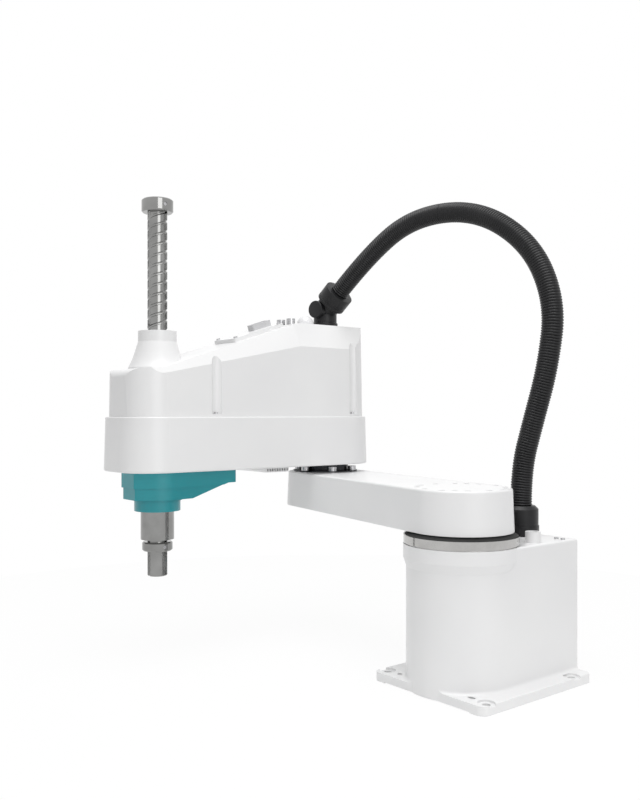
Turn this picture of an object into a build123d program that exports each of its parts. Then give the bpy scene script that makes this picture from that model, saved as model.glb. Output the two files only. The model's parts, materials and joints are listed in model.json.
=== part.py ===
"""Four-axis scara robot: bolted base, two horizontal arms, a vertical quill and its cable hose.

Units are millimetres and +Z is up. The origin is the centre of the four base bolt holes, on
the mounting face. +X points to the front of the base. The first joint's axis stands J1_X in
front of the origin. Both arms are modelled as they stand in the rest pose.
"""
import math
import os

from build123d import *

os.makedirs("parts", exist_ok=True)

# Reach and rest pose
LOWER_ARM_LENGTH = 325.0
UPPER_ARM_LENGTH = 275.0
REST_ANGLE_1 = -101.0
QUILL_STROKE = 150.0

# Fits and clearances
RUNNING_GAP = 0.05
SEAT_GAP = 0.1
SWEEP_GAP = 0.3

# Base plate
BOLT_PITCH_X = 148.0
BOLT_PITCH_Y = 148.0
BOLT_HOLE_RADIUS = 4.5
SPOTFACE_RADIUS = 9.5
SPOTFACE_DEPTH = 2.3
SPOTFACE_SLOT_WIDTH = 10.4
PLATE_THICKNESS = 10.3
PLATE_CORNER = 9.7
PLATE_FRONT_MARGIN = 15.2
PLATE_REAR_MARGIN = 28.8
PLATE_SIDE_MARGIN = 9.0
RAIL_WIDTH = 19.0
RAIL_HEIGHT = 1.1
DOWEL_RADIUS = 3.0
DOWEL_INSET = 20.0
DOWEL_SLOT_LENGTH = 9.5

# Base casting
J1_X = 30.0
COLUMN_RADIUS = 62.3
COLLAR_RADIUS = 65.6
COLLAR_FLARE_BOTTOM = 138.0
COLLAR_FLARE_TOP = 148.0
BASE_TOP = 163.3
BASE_WALL = 8.3
FOOT_FILLET = 4.0
TOP_EDGE_FILLET = 2.5
REDUCER_SEAT_DEPTH = 13.3
REAR_RECESS_DEPTH = 16.0
REAR_RECESS_HALF_WIDTH = 54.0
REAR_RECESS_HEIGHT = 138.0
REAR_LEDGE = 6.0
PANEL_THICKNESS = 3.0
POWER_PLUG_RADIUS = 14.0
POWER_PLUG_LENGTH = 12.0
SIGNAL_PLUG_WIDTH = 46.0
SIGNAL_PLUG_HEIGHT = 18.0
SIGNAL_PLUG_LENGTH = 11.0
PLUG_WALL = 2.0
CONNECTOR_LEVEL = 20.0
AIR_LEVEL = -14.0

# Things on top of the base
POST_X = -67.8
POST_Y = 48.1
POST_RADIUS = 8.7
POST_HEIGHT = 12.6
POST_HOLE_RADIUS = 5.5
POST_HOLE_DEPTH = 6.0
DUCT_X = -108.0
CABLE_BORE_RADIUS = 7.5
DUCT_BODY_RADIUS = 21.3
DUCT_BODY_HEIGHT = 12.0
DUCT_NUT_RADIUS = 20.5
DUCT_NUT_HEIGHT = 24.0
DUCT_NUT_CHAMFER = 4.0
EARTH_SCREW_X = -114.0
EARTH_SCREW_Y = 51.0
EARTH_SCREW_PITCH = 9.0
EARTH_SCREW_RADIUS = 2.6
EARTH_SCREW_HEIGHT = 1.6

# First joint stack
RING_RADIUS = 65.4
RING_BORE_RADIUS = 50.0
RING_STEP = 1.6
RING_STEP_HEIGHT = 1.3
RING_HEIGHT = 10.5
SEAL_HEIGHT = 3.7
SEAL_BOTTOM_RADIUS = 64.0
SEAL_TOP_RADIUS = 57.0
ARM_1_GAP = 0.7
OUTPUT_FLANGE_RADIUS = 47.0
REDUCER_RADIUS = 46.0
REDUCER_DEPTH = 39.0
REDUCER_FLANGE_THICKNESS = 3.0
WAVE_PLUG_RADIUS = 15.0
WAVE_PLUG_HEIGHT = 18.0
J1_GEAR_RATIO = 80.0
J2_GEAR_RATIO = 50.0

# Servo motors
MOTOR_SHAFT_RADIUS = 7.0
J1_MOTOR_SIZE = 60.0
J1_MOTOR_LENGTH = 92.0
MOTOR_FLANGE_THICKNESS = 6.0
MOTOR_FLANGE_EXTRA = 10.0
MOTOR_CORNER = 5.0
J2_MOTOR_GAP = 0.5
J2_MOTOR_LENGTH = 90.0
ENCODER_SIZE = 46.0
ENCODER_HEIGHT = 18.0
MOTOR_BORE_SHARE = 0.8
QUILL_MOTOR_SIZE = 50.0
QUILL_MOTOR_LENGTH = 48.0

# Lower arm
ARM_1_HEIGHT = 48.8
ARM_1_J1_RADIUS = 59.5
ARM_1_J2_RADIUS = 55.5
ARM_1_DRAFT = 2.3
ARM_1_EDGE_FILLET = 2.5
ARM_1_POCKET_START = 70.0
ARM_1_POCKET_END = 262.0
ARM_1_POCKET_HALF_WIDTH = 38.0
ARM_1_TOP_WALL = 12.0
ARM_1_COVER_THICKNESS = 2.0
ARM_1_COVER_LIP = 8.0
ARM_1_SCREW_CIRCLE = 50.0
ARM_1_SCREW_STEP = 16.0
ARM_1_SCREW_HEAD_RADIUS = 3.4
ARM_1_SCREW_RECESS = 3.0
ARM_1_SCREW_SINK = 1.0

# Second joint stack
J2_FLANGE_RADIUS = 46.5
J2_FLANGE_THICKNESS = 1.6
J2_HUB_RADIUS = 33.0
J2_REDUCER_RADIUS = 36.0
J2_REDUCER_DEPTH = 30.0
J2_REDUCER_FLOOR = 3.0
J2_SPIGOT_RADIUS = 30.0
J2_SPIGOT_DEPTH = 8.0
J2_BOLT_CIRCLE = 40.0
J2_BOLT_HEAD_RADIUS = 6.0
J2_BOLT_HEAD_HEIGHT = 6.0
J2_BOLT_SHANK_RADIUS = 3.0
J2_BOLT_COUNT = 6
J2_BOLT_ANGLE = 46.6
J2_SOCKET_RADIUS = 2.8
ARM_2_GAP = 11.6
SHAFT_BORE_RADIUS = 10.0

# Upper arm outline, seen from above with the second axis at zero
ARM_2_HALF_WIDTH = 60.4
ARM_2_NOSE_RADIUS = 45.0
ARM_2_NOSE_REACH = 61.0
ARM_2_CASTING_HEIGHT = 67.4
ARM_2_DRAFT = 1.6
ARM_2_WALL = 10.4
ARM_2_FLOOR = 8.0
ARM_2_BOTTOM_FILLET = 2.0
ARM_2_TOP_FILLET = 1.2

# Upper cover
COVER_INSET = 6.3
COVER_WALL = 3.0
COVER_DRAFT = 1.0
COVER_TOP = 129.3
CREST_X = 77.2
SLOPE_HEIGHT_AT_QUILL = 66.0
CHAMFER_GRADE = 1.99
CHAMFER_HEIGHT_REAR = 90.5
CHAMFER_HEIGHT_FRONT = 51.1
CHAMFER_RISE = 0.1964
CHAMFER_REACH = 12.0
CHAMFER_INSET = 5.4
CREST_RADIUS = 30.0
KNEE_REACH = 13.0
KNEE_RADIUS = 60.0
NOSE_HEIGHT = 58.5
COVER_FRONT_LEAN = 0.9
COVER_NOSE_FILLET = 10.0
FLUTE_RADIUS = 8.2
FLUTE_OFFSET = 2.6
FLUTE_FOOT = 4.0
FLUTE_SETBACK = 54.8
FLUTE_REAR_X = -8.7
FLUTE_REAR_INSET = 0.7
COVER_SCREW_RADIUS = 2.4
COVER_SCREW_HEIGHT = 2.2
COVER_SCREW_SHIFT = 5.4
TURRET_TOP = 95.0
TURRET_TOP_RADIUS = 24.2
TURRET_FOOT_RADIUS = 36.5
TURRET_WAIST_RADIUS = 28.5
TURRET_WAIST = 81.0
TURRET_FOOT = 62.0
TURRET_BORE = 19.0
GUARD_HEIGHT = 13.4

# Things on the cover
PANEL_SETBACK = 56.8
PANEL_LENGTH = 84.0
PANEL_WIDTH = 52.0
PANEL_HEIGHT = 5.0
PANEL_CORNER = 3.0
PANEL_SCREW_RADIUS = 2.6
PANEL_SCREW_HEIGHT = 1.8
PANEL_SCREW_INSET = 5.0
DSUB_SHIFT = -20.0
DSUB_LENGTH = 31.0
DSUB_WIDTH = 14.0
DSUB_HEIGHT = 8.0
AIR_PORT_X = 72.0
AIR_PORT_Y = 11.5
AIR_PORT_RADIUS = 6.0
AIR_PORT_HEIGHT = 8.0
AIR_PORT_BORE = 2.5
LAMP_X = 37.0
LAMP_RADIUS = 12.5
LAMP_BASE_HEIGHT = 3.0
BUTTON_X = 60.0
BUTTON_Y = 0.0
BUTTON_RADIUS = 3.2
BUTTON_HEIGHT = 4.5
BUTTON_TRAVEL = 1.5
BUTTON_FILLET = 0.8

# Hose and its two fittings
HOSE_RADIUS = 13.0
ELBOW_HEIGHT = 25.7
ELBOW_TILT = 48.0
ELBOW_HEADING = 100.5
ELBOW_REACH = 36.2
ELBOW_BASE_RADIUS = 18.3
ELBOW_BASE_HEIGHT = 3.0
ELBOW_NECK_RADIUS = 15.5
ELBOW_BALL_RADIUS = 17.0
ELBOW_STUB_RADIUS = 15.5
ELBOW_KNUCKLE_RADIUS = 9.5
ELBOW_KNUCKLE_LENGTH = 24.0
ELBOW_BORE_RADIUS = 10.0
ELBOW_NUT_RADIUS = 22.0
ELBOW_NUT_LENGTH = 22.0
ELBOW_NUT_CHAMFER = 3.0

# Quill
SHAFT_RADIUS = 12.5
SHAFT_BORE = 7.0
SHAFT_TOP = 581.0
SHAFT_BOTTOM = 105.7
RELIEF_HEIGHT = 2.0
RELIEF_DEPTH = 0.3
TOP_COLLAR_RADIUS = 19.9
TOP_COLLAR_HEIGHT = 16.2
STOP_COLLAR_RADIUS = 19.1
STOP_COLLAR_HEIGHT = 11.4
STOP_COLLAR_BOTTOM = 137.4
COLLAR_CHAMFER = 1.5
SET_SCREW_RADIUS = 2.5
SET_SCREW_ANGLE = 92.0
SET_SCREW_SINK = 1.0
SLEEVE_RADIUS = 21.0
SLEEVE_BOTTOM = 152.0
SLEEVE_TOP = 200.0
NUT_RADIUS = 19.0
BEARING_RADIUS = 24.0
BEARING_HEIGHT = 10.0
SPLINE_NUT_TOP = 268.0
SPLINE_HOUSING_RADIUS = 29.0
SPLINE_HOUSING_FLANGE = 37.0
SPLINE_HOUSING_FLANGE_HEIGHT = 5.0
BELT_WIDTH = 10.0
BELT_THICKNESS = 2.0
QUILL_PULLEY_RADIUS = 28.0
MOTOR_PULLEY_RADIUS = 14.0
PULLEY_HEIGHT = 12.0
J4_PULLEY_Z = 254.0
J3_PULLEY_Z = 300.0
BALL_NUT_BOTTOM = 277.0
BALL_NUT_TOP = 330.0
J3_MOTOR_X = 165.0
J4_MOTOR_X = 85.0
BRACKET_PLATE = 4.0
BRACKET_DROP = 2.0
BRACKET_HALF_WIDTH = 38.0
BRACKET_LENGTH = 62.0
NUT_BRACKET_GAP = 9.0
BRACKET_POST_RADIUS = 4.0
POST_INSET = 5.0
QUILL_ENCODER_SIZE = 40.0
BOARD_X = 45.0
BOARD_THICKNESS = 2.0
BOARD_WIDTH = 76.0
BOARD_HEIGHT = 80.0
BOARD_FOOT = 8.0

# Teal spindle housing and white vent cover under the upper arm
HOUSING_BOTTOM = 203.4
HOUSING_STEP = 218.0
HOUSING_RADIUS = 38.5
HOUSING_TIER = 2.0
HOUSING_NOSE = 41.5
HOUSING_NOSE_HALF_WIDTH = 16.5
HOUSING_TAIL = 102.0
HOUSING_TAIL_HALF_WIDTH = 25.0
HOUSING_TAIL_DROP = 18.5
HOUSING_FLAT = 32.5
HOUSING_SLOPE_END = 12.5
HOUSING_WALL = 3.0
LOWER_RING_RADIUS = 28.9
LOWER_RING_BOTTOM = 188.1
LOWER_RING_FLANGE_RADIUS = 31.5
LOWER_RING_FLANGE_HEIGHT = 1.9
VENT_GAP = 1.0
VENT_LENGTH = 69.0
VENT_FLAT_LENGTH = 37.0
VENT_INSET = 12.4
VENT_DROP = 6.3
VENT_WALL = 2.0
VENT_SLOT_COUNT = 9
VENT_SLOT_PITCH = 4.0
VENT_SLOT_WIDTH = 2.2
VENT_SLOT_HEIGHT = 3.6

# The hose's route, chosen by hand: up from the base, over, and down into the elbow
HOSE_ROUTE = [
    (-78.0, 0.0, 199.3),
    (-78.0, 0.0, 243.0),
    (-80.0, 16.0, 300.0),
    (-82.0, 36.0, 366.0),
    (-83.0, 46.0, 442.0),
    (-80.0, 12.0, 517.0),
    (-70.0, -66.0, 570.0),
    (-57.0, -165.0, 574.0),
    (-46.39, -241.42, 532.06),
    (-36.91, -292.57, 485.22),
]
HOSE_SPLIT_AFTER = (-70.0, -66.0, 570.0)
ARC_SHARE = 0.45

# Places worked out from the sizes above
PLATE_FRONT = BOLT_PITCH_X / 2 + PLATE_FRONT_MARGIN
PLATE_REAR = -BOLT_PITCH_X / 2 - PLATE_REAR_MARGIN
PLATE_HALF_WIDTH = BOLT_PITCH_Y / 2 + PLATE_SIDE_MARGIN
PLATE_LENGTH = PLATE_FRONT - PLATE_REAR
PLATE_CENTRE_X = (PLATE_FRONT + PLATE_REAR) / 2
BOX_CENTRE_X = (PLATE_REAR + J1_X) / 2
BOX_LENGTH = J1_X - PLATE_REAR
RECESS_FLOOR_X = PLATE_REAR + REAR_RECESS_DEPTH
RECESS_BOTTOM = PLATE_THICKNESS + FOOT_FILLET
RING_TOP = BASE_TOP + RING_HEIGHT
SEAL_TOP = RING_TOP + SEAL_HEIGHT
ARM_1_BOTTOM = SEAL_TOP + ARM_1_GAP
ARM_1_TOP = ARM_1_BOTTOM + ARM_1_HEIGHT
ARM_2_BOTTOM = ARM_1_TOP + ARM_2_GAP
PARTING = ARM_2_BOTTOM + ARM_2_CASTING_HEIGHT
ARM_2_FLOOR_TOP = ARM_2_BOTTOM + ARM_2_FLOOR
COVER_TOP_Z = PARTING + COVER_TOP
REST_1 = math.radians(REST_ANGLE_1)
J2_X = J1_X + LOWER_ARM_LENGTH * math.cos(REST_1)
J2_Y = LOWER_ARM_LENGTH * math.sin(REST_1)
QUILL_X = J2_X + UPPER_ARM_LENGTH
QUILL_Y = J2_Y
ARM_2_NOSE = UPPER_ARM_LENGTH + ARM_2_NOSE_REACH
SLOPE_GRADE = (COVER_TOP - SLOPE_HEIGHT_AT_QUILL) / (UPPER_ARM_LENGTH - CREST_X)
CHAMFER_HALF_WIDTH = ARM_2_HALF_WIDTH - CHAMFER_INSET
CHAMFER_FRONT_X = UPPER_ARM_LENGTH + CHAMFER_REACH
KNEE_X = UPPER_ARM_LENGTH + KNEE_REACH
FLUTE_FRONT_X = UPPER_ARM_LENGTH - FLUTE_SETBACK
PANEL_X = CREST_X + PANEL_SETBACK
VENT_HALF_WIDTH = ARM_2_HALF_WIDTH - VENT_INSET
VENT_FRONT = UPPER_ARM_LENGTH - HOUSING_TAIL - VENT_GAP
VENT_REAR = VENT_FRONT - VENT_LENGTH
VENT_FLAT_END = VENT_REAR + VENT_FLAT_LENGTH
NUT_BRACKET_HALF_WIDTH = ARM_2_HALF_WIDTH - ARM_2_WALL - NUT_BRACKET_GAP
J2_MOTOR_SIZE = math.sqrt(2) * (ARM_2_HALF_WIDTH - ARM_2_WALL - J2_MOTOR_GAP) - MOTOR_FLANGE_EXTRA

CENTRE_BOTTOM = (Align.CENTER, Align.CENTER, Align.MIN)

lower_plane = Plane(
    origin=(J1_X, 0, 0),
    x_dir=(math.cos(REST_1), math.sin(REST_1), 0),
    z_dir=(0, 0, 1),
)
upper_plane = Plane(origin=(J2_X, J2_Y, 0))
quill_plane = Plane(origin=(QUILL_X, QUILL_Y, 0))
j1_plane = Plane(origin=(J1_X, 0, 0))


def ring(plane, bottom, top, outer, inner):
    """A plain upright ring on the given plane's origin, between two heights."""
    with BuildPart() as shape:
        with BuildSketch(plane.offset(bottom)):
            Circle(outer)
            Circle(inner, mode=Mode.SUBTRACT)
        extrude(amount=top - bottom)
    return shape


def motor(plane, flange_z, body_z, size, cap_size, cap_z):
    """A square servo motor: flange, body, encoder cap and a bore for its shaft."""
    with BuildPart() as shape:
        with BuildSketch(plane.offset(flange_z)):
            RectangleRounded(size + MOTOR_FLANGE_EXTRA, size + MOTOR_FLANGE_EXTRA, MOTOR_CORNER)
        extrude(amount=math.copysign(MOTOR_FLANGE_THICKNESS, body_z - flange_z))
        with BuildSketch(plane.offset(flange_z)):
            RectangleRounded(size, size, MOTOR_CORNER)
        extrude(amount=body_z - flange_z)
        with BuildSketch(plane.offset(body_z)):
            RectangleRounded(cap_size, cap_size, MOTOR_CORNER)
        extrude(amount=cap_z - body_z)
        with BuildSketch(plane.offset(flange_z)):
            Circle(MOTOR_SHAFT_RADIUS + SWEEP_GAP)
        extrude(amount=(body_z - flange_z) * MOTOR_BORE_SHARE, mode=Mode.SUBTRACT)
    return shape


# Base casting: plate, round column and rear box in one piece
spot_span = PLATE_SIDE_MARGIN + SPOTFACE_RADIUS
foot_section = Plane(origin=(J1_X, 0, 0), x_dir=(1, 0, 0), z_dir=(0, -1, 0))
box_section = Plane(origin=(PLATE_REAR, 0, 0), x_dir=(0, 1, 0), z_dir=(1, 0, 0))
with BuildPart() as base_casting:
    with BuildSketch():
        with Locations((PLATE_CENTRE_X, 0)):
            RectangleRounded(PLATE_LENGTH, 2 * PLATE_HALF_WIDTH, PLATE_CORNER)
    extrude(amount=PLATE_THICKNESS)
    with BuildSketch(foot_section):
        with BuildLine():
            Line((COLUMN_RADIUS, PLATE_THICKNESS + FOOT_FILLET), (COLUMN_RADIUS, PLATE_THICKNESS))
            Line((COLUMN_RADIUS, PLATE_THICKNESS), (COLUMN_RADIUS + FOOT_FILLET, PLATE_THICKNESS))
            RadiusArc(
                (COLUMN_RADIUS + FOOT_FILLET, PLATE_THICKNESS),
                (COLUMN_RADIUS, PLATE_THICKNESS + FOOT_FILLET),
                FOOT_FILLET,
            )
        make_face()
    revolve(axis=Axis((J1_X, 0, 0), (0, 0, 1)))
    for side in (1, -1):
        with BuildSketch(box_section):
            with BuildLine():
                Line((side * COLUMN_RADIUS, PLATE_THICKNESS + FOOT_FILLET), (side * COLUMN_RADIUS, PLATE_THICKNESS))
                Line((side * COLUMN_RADIUS, PLATE_THICKNESS), (side * (COLUMN_RADIUS + FOOT_FILLET), PLATE_THICKNESS))
                RadiusArc(
                    (side * (COLUMN_RADIUS + FOOT_FILLET), PLATE_THICKNESS),
                    (side * COLUMN_RADIUS, PLATE_THICKNESS + FOOT_FILLET),
                    side * FOOT_FILLET,
                )
            make_face()
        extrude(amount=BOX_LENGTH)
    with Locations((PLATE_FRONT, 0, 0)):
        Box(
            COLUMN_RADIUS,
            2 * COLUMN_RADIUS,
            COLLAR_FLARE_BOTTOM,
            align=(Align.MIN, Align.CENTER, Align.MIN),
            mode=Mode.SUBTRACT,
        )
    with BuildSketch(Plane.XY.offset(RAIL_HEIGHT)):
        with Locations((J1_X, 0)):
            Circle(COLUMN_RADIUS)
        with Locations((BOX_CENTRE_X, 0)):
            Rectangle(BOX_LENGTH, 2 * COLUMN_RADIUS)
    extrude(amount=BASE_TOP - RAIL_HEIGHT)
    fillet(base_casting.edges().group_by(Axis.Z)[-1], TOP_EDGE_FILLET)
    with Locations((J1_X, 0, COLLAR_FLARE_BOTTOM)):
        Cone(COLUMN_RADIUS, COLLAR_RADIUS, COLLAR_FLARE_TOP - COLLAR_FLARE_BOTTOM, align=CENTRE_BOTTOM)
    with Locations((J1_X, 0, COLLAR_FLARE_TOP)):
        Cylinder(COLLAR_RADIUS, BASE_TOP - COLLAR_FLARE_TOP, align=CENTRE_BOTTOM)
    with Locations((J1_X, 0, PLATE_THICKNESS)):
        Cylinder(
            COLUMN_RADIUS - BASE_WALL,
            BASE_TOP - REDUCER_SEAT_DEPTH - PLATE_THICKNESS,
            align=CENTRE_BOTTOM,
            mode=Mode.SUBTRACT,
        )
        Cylinder(
            REDUCER_RADIUS + SEAT_GAP,
            BASE_TOP,
            align=CENTRE_BOTTOM,
            mode=Mode.SUBTRACT,
        )
    with BuildSketch(Plane(origin=(PLATE_REAR, 0, RECESS_BOTTOM), x_dir=(0, 1, 0), z_dir=(1, 0, 0))):
        Rectangle(2 * REAR_RECESS_HALF_WIDTH, REAR_RECESS_HEIGHT, align=(Align.CENTER, Align.MIN))
    extrude(amount=REAR_RECESS_DEPTH, mode=Mode.SUBTRACT)
    with BuildSketch(Plane(origin=(RECESS_FLOOR_X, 0, RECESS_BOTTOM + REAR_LEDGE), x_dir=(0, 1, 0), z_dir=(1, 0, 0))):
        Rectangle(
            2 * (REAR_RECESS_HALF_WIDTH - REAR_LEDGE),
            REAR_RECESS_HEIGHT - 2 * REAR_LEDGE,
            align=(Align.CENTER, Align.MIN),
        )
    extrude(amount=J1_X - RECESS_FLOOR_X, mode=Mode.SUBTRACT)
    with BuildSketch(j1_plane.offset(BASE_TOP)):
        with Locations((DUCT_X, 0)):
            Circle(CABLE_BORE_RADIUS)
    extrude(amount=RECESS_BOTTOM + REAR_RECESS_HEIGHT - REAR_LEDGE - BASE_TOP, mode=Mode.SUBTRACT)
    with BuildSketch(Plane.XY.offset(PLATE_THICKNESS)):
        with GridLocations(BOLT_PITCH_X, BOLT_PITCH_Y, 2, 2):
            Circle(SPOTFACE_RADIUS)
        with GridLocations(BOLT_PITCH_X, BOLT_PITCH_Y + spot_span, 2, 2):
            Rectangle(SPOTFACE_SLOT_WIDTH, spot_span)
    extrude(amount=-SPOTFACE_DEPTH, mode=Mode.SUBTRACT)
    with BuildSketch():
        with GridLocations(BOLT_PITCH_X, BOLT_PITCH_Y, 2, 2):
            Circle(BOLT_HOLE_RADIUS)
        with Locations((BOLT_PITCH_X / 2, DOWEL_INSET - BOLT_PITCH_Y / 2)):
            Circle(DOWEL_RADIUS)
        with Locations((BOLT_PITCH_X / 2, BOLT_PITCH_Y / 2 - DOWEL_INSET)):
            SlotOverall(DOWEL_SLOT_LENGTH, 2 * DOWEL_RADIUS, rotation=90)
    extrude(amount=PLATE_THICKNESS, mode=Mode.SUBTRACT)
    with BuildSketch():
        with Locations((PLATE_CENTRE_X, 0)):
            Rectangle(PLATE_LENGTH, 2 * (PLATE_HALF_WIDTH - RAIL_WIDTH))
    extrude(amount=RAIL_HEIGHT, mode=Mode.SUBTRACT)
base_casting.part.label = "base_casting"
export_step(base_casting.part, "parts/base_casting.step")

# Rear connector panel, sunk into the back of the base
panel_plane = Plane(
    origin=(RECESS_FLOOR_X, 0, RECESS_BOTTOM + REAR_RECESS_HEIGHT / 2),
    x_dir=(0, -1, 0),
    z_dir=(-1, 0, 0),
)
panel_screw_x = REAR_RECESS_HALF_WIDTH - REAR_LEDGE / 2
panel_screw_y = REAR_RECESS_HEIGHT / 2 - REAR_LEDGE / 2
with BuildPart() as rear_panel:
    with BuildSketch(panel_plane):
        Rectangle(2 * (REAR_RECESS_HALF_WIDTH - SEAT_GAP), REAR_RECESS_HEIGHT - 2 * SEAT_GAP)
    extrude(amount=PANEL_THICKNESS)
rear_panel.part.label = "rear_panel"
export_step(rear_panel.part, "parts/rear_panel.step")

with BuildPart() as base_screws:
    with BuildSketch(panel_plane.offset(PANEL_THICKNESS)):
        with GridLocations(2 * panel_screw_x, 2 * panel_screw_y, 2, 2):
            Circle(PANEL_SCREW_RADIUS)
    extrude(amount=PANEL_SCREW_HEIGHT)
    with BuildSketch(j1_plane.offset(BASE_TOP)):
        with Locations((EARTH_SCREW_X, EARTH_SCREW_Y)):
            with GridLocations(1, EARTH_SCREW_PITCH, 1, 2):
                Circle(EARTH_SCREW_RADIUS)
    extrude(amount=EARTH_SCREW_HEIGHT)
base_screws.part.label = "base_screws"
export_step(base_screws.part, "parts/base_screws.step")

with BuildPart() as power_connector:
    with BuildSketch(panel_plane.offset(PANEL_THICKNESS)):
        with Locations((-REAR_RECESS_HALF_WIDTH / 2, CONNECTOR_LEVEL)):
            Circle(POWER_PLUG_RADIUS)
    extrude(amount=POWER_PLUG_LENGTH)
    with BuildSketch(panel_plane.offset(PANEL_THICKNESS + POWER_PLUG_LENGTH)):
        with Locations((-REAR_RECESS_HALF_WIDTH / 2, CONNECTOR_LEVEL)):
            Circle(POWER_PLUG_RADIUS - PLUG_WALL)
    extrude(amount=PLUG_WALL - POWER_PLUG_LENGTH, mode=Mode.SUBTRACT)
power_connector.part.label = "power_connector"
export_step(power_connector.part, "parts/power_connector.step")

with BuildPart() as signal_connector:
    with BuildSketch(panel_plane.offset(PANEL_THICKNESS)):
        with Locations((REAR_RECESS_HALF_WIDTH / 2 - PLUG_WALL, CONNECTOR_LEVEL)):
            Rectangle(SIGNAL_PLUG_WIDTH, SIGNAL_PLUG_HEIGHT)
    extrude(amount=SIGNAL_PLUG_LENGTH)
    with BuildSketch(panel_plane.offset(PANEL_THICKNESS + SIGNAL_PLUG_LENGTH)):
        with Locations((REAR_RECESS_HALF_WIDTH / 2 - PLUG_WALL, CONNECTOR_LEVEL)):
            Rectangle(SIGNAL_PLUG_WIDTH - 2 * PLUG_WALL, SIGNAL_PLUG_HEIGHT - 2 * PLUG_WALL)
    extrude(amount=PLUG_WALL - SIGNAL_PLUG_LENGTH, mode=Mode.SUBTRACT)
signal_connector.part.label = "signal_connector"
export_step(signal_connector.part, "parts/signal_connector.step")

with BuildPart() as rear_air_ports:
    with BuildSketch(panel_plane.offset(PANEL_THICKNESS)):
        with Locations((0, AIR_LEVEL)):
            with GridLocations(3 * AIR_PORT_RADIUS, 1, 3, 1):
                Circle(AIR_PORT_RADIUS)
                Circle(AIR_PORT_BORE, mode=Mode.SUBTRACT)
    extrude(amount=AIR_PORT_HEIGHT)
rear_air_ports.part.label = "rear_air_ports"
export_step(rear_air_ports.part, "parts/rear_air_ports.step")

# Post and hose duct on top of the base
with BuildPart() as base_post:
    with BuildSketch(j1_plane.offset(BASE_TOP)):
        with Locations((POST_X, POST_Y)):
            Circle(POST_RADIUS)
    extrude(amount=POST_HEIGHT)
    with BuildSketch(j1_plane.offset(BASE_TOP + POST_HEIGHT)):
        with Locations((POST_X, POST_Y)):
            Circle(POST_HOLE_RADIUS)
    extrude(amount=-POST_HOLE_DEPTH, mode=Mode.SUBTRACT)
base_post.part.label = "base_post"
export_step(base_post.part, "parts/base_post.step")

duct_plane = Plane(origin=(J1_X + DUCT_X, 0, 0))
DUCT_NUT_TOP = BASE_TOP + DUCT_BODY_HEIGHT + DUCT_NUT_HEIGHT
duct_body = ring(duct_plane, BASE_TOP, BASE_TOP + DUCT_BODY_HEIGHT, DUCT_BODY_RADIUS, CABLE_BORE_RADIUS)
duct_body.part.label = "duct_body"
export_step(duct_body.part, "parts/duct_body.step")

with BuildPart() as duct_nut:
    with BuildSketch(duct_plane.offset(BASE_TOP + DUCT_BODY_HEIGHT)):
        Circle(DUCT_NUT_RADIUS)
    extrude(amount=DUCT_NUT_HEIGHT)
    chamfer(duct_nut.edges().sort_by(Axis.Z)[-1], DUCT_NUT_CHAMFER)
    with BuildSketch(duct_plane.offset(BASE_TOP)):
        Circle(CABLE_BORE_RADIUS)
    extrude(amount=DUCT_BODY_HEIGHT + DUCT_NUT_HEIGHT, mode=Mode.SUBTRACT)
duct_nut.part.label = "duct_nut"
export_step(duct_nut.part, "parts/duct_nut.step")

# First joint: ring and seal, reducer, motor, wave plug and output flange
with BuildPart() as base_ring:
    with BuildSketch(j1_plane.offset(BASE_TOP)):
        Circle(RING_RADIUS - RING_STEP)
    extrude(amount=RING_STEP_HEIGHT)
    with BuildSketch(j1_plane.offset(BASE_TOP + RING_STEP_HEIGHT)):
        Circle(RING_RADIUS)
    extrude(amount=RING_HEIGHT - RING_STEP_HEIGHT)
    with BuildSketch(j1_plane.offset(BASE_TOP)):
        Circle(RING_BORE_RADIUS)
    extrude(amount=RING_HEIGHT, mode=Mode.SUBTRACT)
base_ring.part.label = "base_ring"
export_step(base_ring.part, "parts/base_ring.step")

with BuildPart() as base_seal:
    with Locations((J1_X, 0, RING_TOP)):
        Cone(SEAL_BOTTOM_RADIUS, SEAL_TOP_RADIUS, SEAL_HEIGHT, align=CENTRE_BOTTOM)
        Cylinder(RING_BORE_RADIUS, SEAL_HEIGHT, align=CENTRE_BOTTOM, mode=Mode.SUBTRACT)
base_seal.part.label = "base_seal"
export_step(base_seal.part, "parts/base_seal.step")

REDUCER_TOP = BASE_TOP + REDUCER_FLANGE_THICKNESS
REDUCER_BOTTOM = BASE_TOP - REDUCER_DEPTH
with BuildPart() as j1_reducer:
    with BuildSketch(j1_plane.offset(REDUCER_BOTTOM)):
        Circle(REDUCER_RADIUS)
    extrude(amount=REDUCER_DEPTH)
    with BuildSketch(j1_plane.offset(BASE_TOP)):
        Circle(RING_BORE_RADIUS - SEAT_GAP)
    extrude(amount=REDUCER_FLANGE_THICKNESS)
    with BuildSketch(j1_plane.offset(REDUCER_BOTTOM)):
        Circle(WAVE_PLUG_RADIUS + SWEEP_GAP)
    extrude(amount=WAVE_PLUG_HEIGHT + 2 * SWEEP_GAP, mode=Mode.SUBTRACT)
j1_reducer.part.label = "j1_reducer"
export_step(j1_reducer.part, "parts/j1_reducer.step")

j1_motor = motor(
    j1_plane,
    REDUCER_BOTTOM,
    REDUCER_BOTTOM - J1_MOTOR_LENGTH,
    J1_MOTOR_SIZE,
    ENCODER_SIZE,
    REDUCER_BOTTOM - J1_MOTOR_LENGTH - ENCODER_HEIGHT,
)
j1_motor.part.label = "j1_motor"
export_step(j1_motor.part, "parts/j1_motor.step")

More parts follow.
